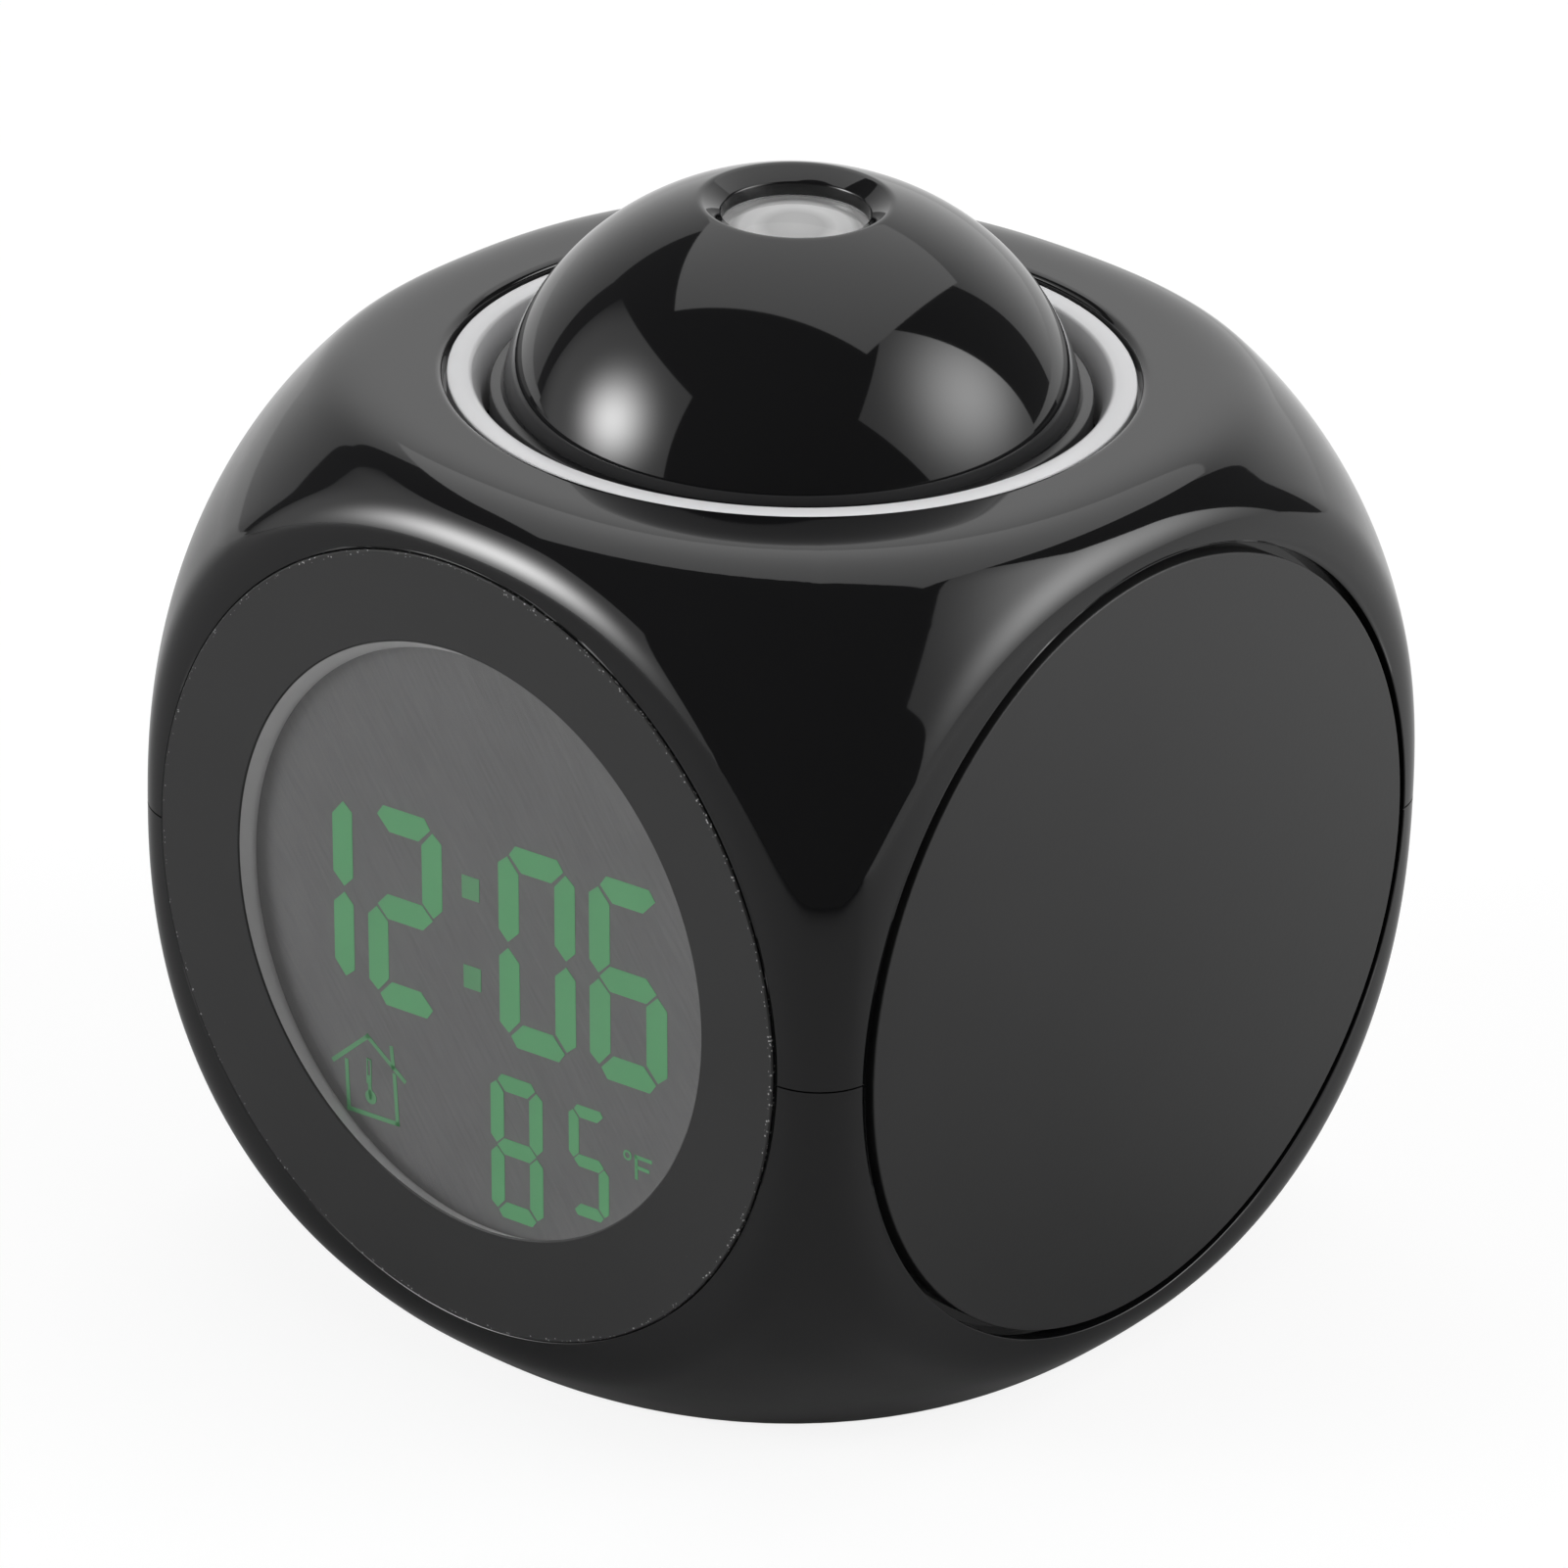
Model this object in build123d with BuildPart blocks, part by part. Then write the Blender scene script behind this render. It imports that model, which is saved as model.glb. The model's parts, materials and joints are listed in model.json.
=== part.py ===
"""Projection alarm clock: a rounded-cube housing with a domed projector key on top.

Millimetres. The origin is the centre of the base, +Z is up, the display faces -Y
and the right-hand side plate faces +X.
"""

from build123d import *
from math import acos, asin, cos, dist, pi, sin, sqrt
import os

os.makedirs("parts", exist_ok=True)

# ---------------------------------------------------------------- housing form
HALF_WIDTH = 45.0  # centre to each flat side
PARTING_HEIGHT = 45.0  # where the two halves of the housing meet
TOP_RISE = 44.6  # from there to the flat top of the shell
SHOULDER = 12.9  # the uncut rounded form would stand this far beyond a side or the base
TOP_SHOULDER = 13.3  # and this far above the flat top
ROUNDNESS = 2.3  # 2 is a ball, larger is squarer
RIM_FILLET = 5.0  # rounding where a flat meets the curved form
RIM_FILLET_SHARE = 0.92  # at most this share of the width between two flats' rims
WALL = 2.2
FLAT_WALL = 4.2  # behind each side disc, where the disc is let in
BASE_WALL = 3.2
TOP_WALL = 2.6
PARTING_GAP = 0.16
LIP_HEIGHT = 1.4
LIP_GAP = 0.1
FORM_LEVELS = 10
FORM_POINTS = 24
CROSS_LENGTH = 1.2  # a screw's cross slot, as shares of its head's radius
CROSS_WIDTH = 0.3
CUT_MARGIN = 0.5  # a cut or a root reaches this far past the face it has to meet

# ---------------------------------------------------------------- side discs
BEZEL_RADIUS = 38.8
BEZEL_GAP = 0.1
PLATE_RADIUS = 38.1
PLATE_GAP = 0.9
REAR_GAP = 0.4
DISC_THICKNESS = 2.0
DISC_STAND = 0.2  # the discs stand this far proud of the housing's flats
REAR_RECESS = 0.8  # the rear disc lies this far inside the others
OPENING_RADIUS = 35.0  # through the housing behind each disc
SPIGOT_CLEARANCE = 0.2
SPIGOT_WALL = 1.6
SPIGOT_LENGTH = 3.5
DISC_CHAMFER = 0.15
BEZEL_CHAMFER = 0.1

# ---------------------------------------------------------------- display
WINDOW_RADIUS = 29.3  # the visible round of the display
WINDOW_LAP = 2.2  # how far the window runs under its rim
WINDOW_LIP = 1.0
WINDOW_THICKNESS = 1.2
LCD_HALF = 29.6  # centre to each flat of the eight-sided glass
LCD_SIDES = 8
LCD_THICKNESS = 2.2
LCD_FIT = 0.1
BACKLIGHT_THICKNESS = 3.0
BACKLIGHT_HALF = 26.5
BOARD_THICKNESS = 1.6
BOARD_WIDTH = 63.0
BOARD_HEIGHT = 59.0
DISPLAY_SCREW_X = 27.5
DISPLAY_SCREW_Z = 26.0
BOSS_RADIUS = 2.4
BOSS_STAND = 1.4
SCREW_END_WALL = 0.8
SCREW_END_GAP = 0.2
FRAME_BACK = 0.9
BOARD_CORNER = 3.0
CHIP_PLACE = (-8.0, 6.0)
CHIP_RADIUS = 5.0
CHIP_HEIGHT = 1.5
CRYSTAL_PLACE = (10.0, 12.0)
CRYSTAL_SIZE = (8.0, 3.0)
CAPACITOR_PLACES = ((12.0, -2.0), (12.0, -9.0))
CAPACITOR_RADIUS = 2.0
DRIVER_PLACE = (-14.0, -12.0)
DRIVER_SIZE = (6.0, 5.0)
STRIP_WIDTH = 20.0
STRIP_THICKNESS = 1.6
STRIP_ROW = -28.0
BOARD_SCREW_HEAD = 1.7
BOARD_SCREW_HEAD_HEIGHT = 1.2

# ---------------------------------------------------------------- screws
SCREW_RADIUS = 1.3
SCREW_HEAD_RADIUS = 2.1
SCREW_HEAD_HEIGHT = 1.6
CORE_CLEARANCE = 0.05
CASE_SCREW_PLACE = 27.0  # from the middle, in X and in Y
PILLAR_RADIUS = 3.4
WELL_RADIUS = 2.3
WELL_TOP = 37.8
CASE_SCREW_LENGTH = 16.0

# ---------------------------------------------------------------- trim ring and dome key
TOP_OPENING_RADIUS = 32.8
RING_GAP = 0.45
RING_DROP = 0.5  # below the top of the shell
RING_BAND = 2.25
RING_THROAT_RADIUS = 29.15
RING_CONE_HEIGHT = 1.8
RING_FLANGE_RADIUS = 34.3
RING_FLANGE_THICKNESS = 1.9
RING_SKIRT_WALL = 1.5
RING_SEAT_GAP = 0.1
DOME_RADIUS = 27.85  # the dome's outline is part of an ellipse: half its width
DOME_RISE = 25.15  # and half its height
DOME_CENTRE_DROP = 6.7  # the ellipse's centre lies this far below the top of the shell
DOME_WALL = 2.0
DOME_POINTS = 9
DOME_SEAT_DROP = 1.5  # the dome stands on the carrier this far below the top
LOCATING_RISE = 1.6  # a rim on the carrier stands up inside the dome
LOCATING_WALL = 1.0
LOCATING_GAP = 0.2
CARRIER_RADIUS = 28.35
CARRIER_WALL = 2.95
CARRIER_FLANGE_RADIUS = 30.3
CARRIER_FLANGE_THICKNESS = 1.8
CARRIER_FLOOR = 2.0
CARRIER_DEPTH = 9.6  # top of the shell down to the underside of the carrier
DOME_TRAVEL = 2.0
STOP_GAP = 0.3

# ---------------------------------------------------------------- projector
RIM_RADIUS = 9.0
EYE_RADIUS = 7.0
EYE_BEVEL = 1.25
EYE_DEPTH = 2.6  # from the top of the dome's rim to the barrel's end
BARREL_RADIUS = 8.5
BARREL_FIT = 0.1
BOSS_DEPTH = 3.1
BOSS_WALL = 1.8
LENS_RADIUS = 6.9
LENS_EDGE = 1.6
LENS_LAND = 0.5
LENS_CROWN = 1.3
RETAINER_HEIGHT = 0.4
RETAINER_INNER = 6.5
BARREL_WALL = 1.5
BARREL_SHOULDER = 1.5
BARREL_FOOT = 2.0
CONDENSER_EDGE = 0.8
BARREL_BORE = 5.6
LIGHT_BOX_RADIUS = 10.6
LIGHT_BOX_WALL = 1.6
LIGHT_BOX_HEIGHT = 10.4
PROJECTION_GLASS = 12.0
PROJECTION_GLASS_THICKNESS = 1.4
CONDENSER_THICKNESS = 2.2
LED_RADIUS = 2.5
LED_HEIGHT = 5.0
LED_FILLET = 2.2
PROJECTOR_BOARD_RADIUS = 23.0

# ---------------------------------------------------------------- deck under the dome key
DECK_FLOOR = 2.0
DECK_WALL = 1.8
DECK_RADIUS = 33.0
EAR_PLACE = 36.9
EAR_RADIUS = 2.7
EAR_THICKNESS = 1.8
SPRING_PLACE = 22.0
SPRING_COUNT = 3  # and as many screws between them
SPRING_RADIUS = 2.4
SPRING_WIRE = 0.5
SPRING_LENGTH = 6.0
SPRING_TURNS = 4
SPRING_END_GAP = 0.05
SEAT_PIN_RADIUS = 1.6
SWITCH_SIZE = 6.0
SWITCH_HEIGHT = 2.2
SWITCH_HOLE = 1.5
DECK_PIN = 1.8
CARRIER_PIN = 1.5
LEAD_HOLE_RADIUS = 3.0
CARRIER_LEAD_PLACE = 11.0
CARRIER_LEAD_RADIUS = 1.5
PROJECTOR_SCREW_PLACE = 18.0
PLUNGER_RADIUS = 1.6
PLUNGER_GAP = 0.3
SMALL_BOARD = 18.0
SMALL_BOARD_THICKNESS = 1.2

# ---------------------------------------------------------------- rear controls
KEY_PITCH = 14.0
KEY_ROW = -12.0  # from the disc's centre
KEY_RADIUS = 3.1
KEY_GAP = 0.3
KEY_FLANGE = 1.1
KEY_FLANGE_THICKNESS = 1.0
KEY_COUNT = 4
KEY_SEAT_GAP = 0.2
KEY_STAND = 0.8
KEY_FILLET = 0.4
KEY_STEM = 2.2
KEY_SWITCH_HEIGHT = 3.8
KEY_SWITCH_HOLE = 2.0
SLIDE_ROW = -22.0
SLIDE_TRAVEL = 4.0
SLIDE_KNOB_WIDTH = 4.2
SLIDE_KNOB_HEIGHT = 3.2
SLIDE_GAP = 0.3
SLIDE_STEM = 1.6
SLIDE_STEM_LENGTH = 2.8
SLIDE_BODY_WIDTH = 12.0
SLIDE_BODY_HEIGHT = 5.0
SLIDE_BODY_STAND = 3.6
SLIDE_SLOT_DEPTH = 1.8
KNOB_GROOVE = 0.4
REAR_BOARD_DEPTH = 9.0
REAR_BOARD_WIDTH = 52.0
REAR_BOARD_HEIGHT = 26.0
REAR_BOARD_ROW = -14.0
REAR_POST_X = 22.0
REAR_POST_ROWS = (-4.0, -20.0)
REAR_POST_RADIUS = 1.9
BOARD_SCREW_RADIUS = 0.9
BOARD_SCREW_LENGTH = 5.0

# ---------------------------------------------------------------- speaker
SPEAKER_ROW = 14.0
SPEAKER_RADIUS = 14.0
SPEAKER_RING_GAP = 0.2
SPEAKER_RING_WALL = 1.2
SPEAKER_DEPTH = 6.5
MAGNET_RADIUS = 7.0
GRILLE_HOLE_RADIUS = 1.1
GRILLE_PITCH = 4.2
GRILLE_SPOKES = 6
GRILLE_RINGS = 2
SPEAKER_RING_DEPTH = 2.7
CONE_RADIUS = 12.3
CONE_FIT = 0.1
CONE_DEPTH = 2.1
CONE_SHEET = 0.4
CAP_RADIUS = 5.0
CAP_RISE = 0.8
BASKET_LEDGE = 1.0
BASKET_DEPTH = 3.8
BASKET_SHEET = 0.4
BASKET_FLOOR = 2.5

# ---------------------------------------------------------------- battery bay
CELL_RADIUS = 5.25
CELL_LENGTH = 44.5
CELL_NUB_RADIUS = 1.9
CELL_NUB_LENGTH = 1.0
CELL_COUNT = 3
CELL_PITCH = 11.1
BAY_SIDE_GAP = 0.45
CONTACT_ROOM = 6.5  # the bay is longer than a cell by this much
BAY_WALL = 1.4
BAY_CEILING = 13.1
DOOR_RECESS = 0.3
DOOR_THICKNESS = 1.5
DOOR_GAP = 0.2
DOOR_SEAT_GAP = 0.1
CELL_CLEARANCE = 0.4
DOOR_RIB = 1.0
CONTACT_SIZE = 9.0
CONTACT_THICKNESS = 0.5
CONTACT_WIRE = 0.6
CONTACT_TURNS = 3
CONTACT_COIL_RADIUS = 3.8
CONTACT_TAPER = -17.0
FINGER_NOTCH_RADIUS = 6.0
FINGER_NOTCH_DEPTH = 1.2
DOOR_NOTCH_RADIUS = 3.0
DOOR_NOTCH_DEPTH = 0.8

# ---------------------------------------------------------------- leads and sensor
RIBBON_ROW = -19.0  # from the disc's centre
RIBBON_WIDTH = 12.0
RIBBON_THICKNESS = 0.8
RIBBON_SAG = 2.5
SOCKET_SIZE = 3.0
SOCKET_EAR = 1.0
DECK_LEAD_ROW = 17.0
DECK_LEAD_WIDTH = 6.0
DECK_LEAD_BEND = 0.85  # the bend's radius for each unit of straight distance
SENSOR_PLACE = (18.0, -24.0)
SENSOR_RADIUS = 1.2
SENSOR_HEIGHT = 3.5

BODY_HEIGHT = PARTING_HEIGHT + TOP_RISE
BAY_WIDTH = (CELL_COUNT - 1) * CELL_PITCH + 2 * (CELL_RADIUS + BAY_SIDE_GAP)
BAY_LENGTH = CELL_LENGTH + CONTACT_ROOM

# Planes on the four flat sides: X runs to the right as each side is looked at, Y is up.
FRONT = Plane(origin=(0, -HALF_WIDTH, PARTING_HEIGHT), x_dir=(1, 0, 0), z_dir=(0, -1, 0))
REAR = Plane(origin=(0, HALF_WIDTH, PARTING_HEIGHT), x_dir=(-1, 0, 0), z_dir=(0, 1, 0))
RIGHT = Plane(origin=(HALF_WIDTH, 0, PARTING_HEIGHT), x_dir=(0, 1, 0), z_dir=(1, 0, 0))
LEFT = Plane(origin=(-HALF_WIDTH, 0, PARTING_HEIGHT), x_dir=(0, -1, 0), z_dir=(-1, 0, 0))

spigot_radius = OPENING_RADIUS - SPIGOT_CLEARANCE
spigot_bore = spigot_radius - SPIGOT_WALL
rear_seat_depth = REAR_RECESS + DISC_THICKNESS
window_outer = WINDOW_RADIUS + WINDOW_LAP
lcd_depth = WINDOW_LIP + WINDOW_THICKNESS + SPIGOT_CLEARANCE
backlight_depth = lcd_depth + LCD_THICKNESS
frame_end_depth = backlight_depth + BACKLIGHT_THICKNESS + FRAME_BACK
board_end_depth = frame_end_depth + BOARD_THICKNESS
boss_end_depth = FLAT_WALL + BOSS_STAND
boss_root_depth = DISC_THICKNESS + SCREW_END_WALL


def finish(part, name):
    """Name a finished piece and write it."""
    part.label = name
    export_step(part, f"parts/{name}.step")


def inside(face, depth):
    """The plane that lies this far inside one of the flat sides."""
    return face.offset(-depth)


def form_outline(height, inset):
    """Points round the rounded cube's level section at one height, inset from its skin."""
    reach = HALF_WIDTH + SHOULDER - inset
    if height > PARTING_HEIGHT:
        upright_reach = TOP_RISE + TOP_SHOULDER - inset
    else:
        upright_reach = PARTING_HEIGHT + SHOULDER - inset
    above = abs(height - PARTING_HEIGHT)
    rest = reach**ROUNDNESS * (1 - (above / upright_reach) ** ROUNDNESS)
    points = []
    for k in range(FORM_POINTS):
        # The outline starts at the rear left corner, clear of the flats.
        angle = 0.75 * pi + 2 * pi * k / FORM_POINTS
        c, s = cos(angle), sin(angle)
        radius = (rest / (abs(c) ** ROUNDNESS + abs(s) ** ROUNDNESS)) ** (1 / ROUNDNESS)
        points.append((radius * c, radius * s))
    return points


def rounded_cube(inset, side_inset, bottom, top):
    """Loft level sections into the rounded form, inset from its skin, then cut the four sides flat."""
    half = HALF_WIDTH - side_inset
    with BuildPart() as form:
        for level in range(FORM_LEVELS + 1):
            height = bottom + (top - bottom) * level / FORM_LEVELS
            with BuildSketch(Plane.XY.offset(height)):
                with BuildLine():
                    Spline(*form_outline(height, inset), periodic=True)
                make_face()
        loft()
        with Locations((0, 0, PARTING_HEIGHT)):
            Box(2 * half, 2 * half, 2 * (top - bottom), mode=Mode.INTERSECT)
    return form


def cut_disc_seat(face, radius, depth):
    """Let a disc into a flat side and open the wall behind it."""
    with BuildSketch(face) as seat:
        Circle(radius)
    extrude(seat.sketch, amount=-depth, mode=Mode.SUBTRACT)
    with BuildSketch(face) as opening:
        Circle(OPENING_RADIUS)
    extrude(opening.sketch, amount=-(FLAT_WALL + CUT_MARGIN), mode=Mode.SUBTRACT)


def cut_all_seats():
    """Cut the four side seats out of a housing half."""
    cut_disc_seat(FRONT, BEZEL_RADIUS + BEZEL_GAP, DISC_THICKNESS)
    cut_disc_seat(RIGHT, PLATE_RADIUS + PLATE_GAP, DISC_THICKNESS)
    cut_disc_seat(LEFT, PLATE_RADIUS + PLATE_GAP, DISC_THICKNESS)
    cut_disc_seat(REAR, PLATE_RADIUS + REAR_GAP, rear_seat_depth)


def add_spigot(face, start):
    """The round rim behind a disc that centres it in the housing's opening."""
    with BuildSketch(inside(face, start)) as rim:
        Circle(spigot_radius)
        Circle(spigot_bore, mode=Mode.SUBTRACT)
    extrude(rim.sketch, amount=-SPIGOT_LENGTH)


def add_round_bosses(plane, places, radius, bore, length):
    """Round bosses on a plane, each with a core hole for a screw; length along the normal."""
    with BuildSketch(plane) as bosses:
        with Locations(*places):
            Circle(radius)
    extrude(bosses.sketch, amount=length)
    with BuildSketch(plane) as cores:
        with Locations(*places):
            Circle(bore)
    extrude(cores.sketch, amount=length, mode=Mode.SUBTRACT)


def screws(plane, places, radius, head_radius, head_height, length):
    """Pan-head screws whose heads sit on the plane, shanks against its normal."""
    with BuildPart() as made:
        with BuildSketch(plane):
            with Locations(*places):
                Circle(head_radius)
        extrude(amount=head_height)
        with BuildSketch(plane):
            with Locations(*places):
                Circle(radius)
        extrude(amount=-length)
        with BuildSketch(plane.offset(head_height)):
            with Locations(*places):
                Rectangle(head_radius * CROSS_LENGTH, head_radius * CROSS_WIDTH)
                Rectangle(head_radius * CROSS_WIDTH, head_radius * CROSS_LENGTH)
        extrude(amount=-head_height / 2, mode=Mode.SUBTRACT)
    return made.part


def turned(profile, axis=Axis.Z, plane=Plane.XZ):
    """Revolve a closed profile of (radius, height) points."""
    with BuildPart() as made:
        with BuildSketch(plane):
            with BuildLine():
                Polyline(*profile, close=True)
            make_face()
        revolve(axis=axis)
    return made


# ================================================================ housing halves
upper_bottom = PARTING_HEIGHT + PARTING_GAP / 2
lower_top = PARTING_HEIGHT - PARTING_GAP / 2
top_inside = BODY_HEIGHT - TOP_WALL
ring_flange_bottom = top_inside - RING_SEAT_GAP - RING_FLANGE_THICKNESS
pillar_places = [
    (x * CASE_SCREW_PLACE, y * CASE_SCREW_PLACE) for x in (-1, 1) for y in (-1, 1)
]
display_screw_places = [
    (x * DISPLAY_SCREW_X, z * DISPLAY_SCREW_Z) for x in (-1, 1) for z in (-1, 1)
]
ear_places = [(EAR_PLACE, 0), (0, EAR_PLACE), (-EAR_PLACE, 0), (0, -EAR_PLACE)]
board_screw_bore = BOARD_SCREW_RADIUS + CORE_CLEARANCE

form_span = 2 * (HALF_WIDTH + SHOULDER)
flat_half = HALF_WIDTH - DISC_STAND


def rim_reach(across, flat, along):
    """How far a flat's rim reaches along one axis, for a form of these two reaches."""
    return along * (1 - (flat / across) ** ROUNDNESS) ** (1 / ROUNDNESS)


def rim_room(flat, upright_reach):
    """Width of the curved form left between a side's rim and the top's or the base's."""
    across = rim_reach(upright_reach, flat, form_span / 2)
    upright = rim_reach(form_span / 2, flat_half, upright_reach)
    return dist((across, flat), (flat_half, upright))


rim_fillet = min(RIM_FILLET, RIM_FILLET_SHARE * min(
    rim_room(flat_half, form_span / 2),
    rim_room(TOP_RISE, TOP_RISE + TOP_SHOULDER),
    rim_room(PARTING_HEIGHT, PARTING_HEIGHT + SHOULDER),
))

outer_cut = rounded_cube(0, DISC_STAND, 0, BODY_HEIGHT)
with BuildPart() as outer_form:
    add(outer_cut.part)
    fillet(outer_form.faces().filter_by(GeomType.PLANE).edges(), rim_fillet)
cavity_form = rounded_cube(WALL, FLAT_WALL, BASE_WALL, top_inside)
# At the corners a lip on the lower half stands inside the wall of the upper half.
groove_form = rounded_cube(WALL / 2, FLAT_WALL / 2, BASE_WALL, top_inside)
lip_form = rounded_cube(WALL / 2 + LIP_GAP, FLAT_WALL / 2 + LIP_GAP, BASE_WALL, top_inside)

with BuildPart() as groove:
    add(groove_form.part)
    with Locations((0, 0, PARTING_HEIGHT)):
        Box(form_span, form_span, 2 * (LIP_HEIGHT + LIP_GAP), mode=Mode.INTERSECT)

with BuildPart() as lip:
    add(lip_form.part)
    add(cavity_form.part, mode=Mode.SUBTRACT)
    with Locations((0, 0, PARTING_HEIGHT)):
        Box(form_span, form_span, 2 * LIP_HEIGHT, mode=Mode.INTERSECT)

with BuildPart() as upper_shell:
    add(outer_form.part)
    add(cavity_form.part, mode=Mode.SUBTRACT)
    add(groove.part, mode=Mode.SUBTRACT)
    add_round_bosses(
        Plane.XY.offset(upper_bottom), pillar_places, PILLAR_RADIUS,
        SCREW_RADIUS + CORE_CLEARANCE, top_inside + CUT_MARGIN - upper_bottom,
    )
    add_round_bosses(
        Plane.XY.offset(ring_flange_bottom), ear_places, BOSS_RADIUS,
        board_screw_bore, top_inside + CUT_MARGIN - ring_flange_bottom,
    )
    with BuildSketch(Plane.XY.offset(top_inside - CUT_MARGIN)):
        Circle(TOP_OPENING_RADIUS)
    extrude(amount=TOP_WALL + 2 * CUT_MARGIN, mode=Mode.SUBTRACT)
    cut_all_seats()
    add_round_bosses(
        inside(FRONT, boss_end_depth), [p for p in display_screw_places if p[1] > 0],
        BOSS_RADIUS, board_screw_bore, boss_end_depth - boss_root_depth,
    )
    split(bisect_by=Plane.XY.offset(upper_bottom), keep=Keep.TOP)
finish(upper_shell.part, "upper_shell")

bay_half_x = BAY_WIDTH / 2 + BAY_WALL
bay_half_y = BAY_LENGTH / 2 + BAY_WALL
door_top = DOOR_RECESS + DOOR_THICKNESS
bay_floor = Plane.XY

with BuildPart() as lower_shell:
    add(outer_form.part)
    add(cavity_form.part, mode=Mode.SUBTRACT)
    with BuildSketch(Plane.XY.offset(BASE_WALL / 2)):
        Rectangle(2 * bay_half_x, 2 * bay_half_y)
    extrude(amount=BAY_CEILING + BAY_WALL - BASE_WALL / 2)
    with BuildSketch(bay_floor):
        Rectangle(BAY_WIDTH, BAY_LENGTH)
    extrude(amount=BAY_CEILING, mode=Mode.SUBTRACT)
    with BuildSketch(bay_floor):
        Rectangle(2 * bay_half_x, 2 * bay_half_y)
    extrude(amount=door_top + DOOR_SEAT_GAP, mode=Mode.SUBTRACT)
    with BuildSketch(bay_floor):
        with Locations((0, bay_half_y)):
            Circle(FINGER_NOTCH_RADIUS)
    extrude(amount=FINGER_NOTCH_DEPTH, mode=Mode.SUBTRACT)
    add_round_bosses(
        Plane.XY.offset(BASE_WALL - CUT_MARGIN), pillar_places, PILLAR_RADIUS,
        SCREW_RADIUS + CORE_CLEARANCE, lower_top - BASE_WALL + CUT_MARGIN,
    )
    with BuildSketch(Plane.XY):
        with Locations(*pillar_places):
            Circle(WELL_RADIUS)
    extrude(amount=WELL_TOP, mode=Mode.SUBTRACT)
    split(bisect_by=Plane.XY.offset(lower_top), keep=Keep.BOTTOM)
    add(lip.part)
    cut_all_seats()
    add_round_bosses(
        inside(FRONT, boss_end_depth), [p for p in display_screw_places if p[1] < 0],
        BOSS_RADIUS, board_screw_bore, boss_end_depth - boss_root_depth,
    )
finish(lower_shell.part, "lower_shell")

case_screw_plane = Plane(origin=(0, 0, WELL_TOP), x_dir=(1, 0, 0), z_dir=(0, 0, -1))
finish(
    screws(case_screw_plane, pillar_places, SCREW_RADIUS, SCREW_HEAD_RADIUS,
           SCREW_HEAD_HEIGHT, CASE_SCREW_LENGTH),
    "case_screws",
)

# ================================================================ front of the clock
with BuildPart() as front_bezel:
    with BuildSketch(FRONT):
        Circle(BEZEL_RADIUS)
    extrude(amount=-DISC_THICKNESS)
    chamfer(front_bezel.faces().sort_by(Axis.Y)[0].edges(), BEZEL_CHAMFER)
    add_spigot(FRONT, DISC_THICKNESS)
    with BuildSketch(FRONT):
        Circle(WINDOW_RADIUS)
    extrude(amount=-DISC_THICKNESS, mode=Mode.SUBTRACT)
    with BuildSketch(inside(FRONT, WINDOW_LIP)):
        Circle(window_outer + SPIGOT_CLEARANCE)
    extrude(amount=-DISC_THICKNESS, mode=Mode.SUBTRACT)
finish(front_bezel.part, "front_bezel")

with BuildPart() as display_window:
    with BuildSketch(inside(FRONT, WINDOW_LIP)):
        Circle(window_outer)
    extrude(amount=-WINDOW_THICKNESS)
finish(display_window.part, "display_window")

with BuildPart() as lcd_panel:
    with BuildSketch(inside(FRONT, lcd_depth)):
        RegularPolygon(LCD_HALF, LCD_SIDES, major_radius=False, rotation=180 / LCD_SIDES)
    extrude(amount=-LCD_THICKNESS)
finish(lcd_panel.part, "lcd_panel")

with BuildPart() as backlight:
    with BuildSketch(inside(FRONT, backlight_depth)):
        RegularPolygon(BACKLIGHT_HALF, LCD_SIDES, major_radius=False, rotation=180 / LCD_SIDES)
    extrude(amount=-BACKLIGHT_THICKNESS)
finish(backlight.part, "backlight")

frame_radius = spigot_bore - SPIGOT_CLEARANCE
frame_front = WINDOW_LIP + WINDOW_THICKNESS
strip_depth = board_end_depth - BOARD_THICKNESS - backlight_depth
with BuildPart() as lcd_frame:
    with BuildSketch(inside(FRONT, frame_front)):
        Circle(frame_radius)
    extrude(amount=-(frame_end_depth - frame_front))
    with BuildSketch(inside(FRONT, boss_end_depth)):
        with Locations(*display_screw_places):
            Circle(BOSS_RADIUS)
        Rectangle(2 * DISPLAY_SCREW_X, 2 * DISPLAY_SCREW_Z)
    extrude(amount=-(frame_end_depth - boss_end_depth))
    with BuildSketch(inside(FRONT, frame_front)):
        RegularPolygon(LCD_HALF + LCD_FIT, LCD_SIDES, major_radius=False, rotation=180 / LCD_SIDES)
    extrude(amount=-(backlight_depth - frame_front), mode=Mode.SUBTRACT)
    with BuildSketch(inside(FRONT, backlight_depth)):
        RegularPolygon(BACKLIGHT_HALF + LCD_FIT, LCD_SIDES, major_radius=False, rotation=180 / LCD_SIDES)
    extrude(amount=-BACKLIGHT_THICKNESS, mode=Mode.SUBTRACT)
    with BuildSketch(inside(FRONT, backlight_depth)):
        with Locations((0, STRIP_ROW)):
            Rectangle(STRIP_WIDTH + 2 * LCD_FIT, STRIP_THICKNESS + 2 * LCD_FIT)
    extrude(amount=-strip_depth, mode=Mode.SUBTRACT)
    with BuildSketch(inside(FRONT, backlight_depth)):
        with Locations(*display_screw_places):
            Circle(board_screw_bore)
    extrude(amount=-(frame_end_depth - backlight_depth), mode=Mode.SUBTRACT)
finish(lcd_frame.part, "lcd_frame")

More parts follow.
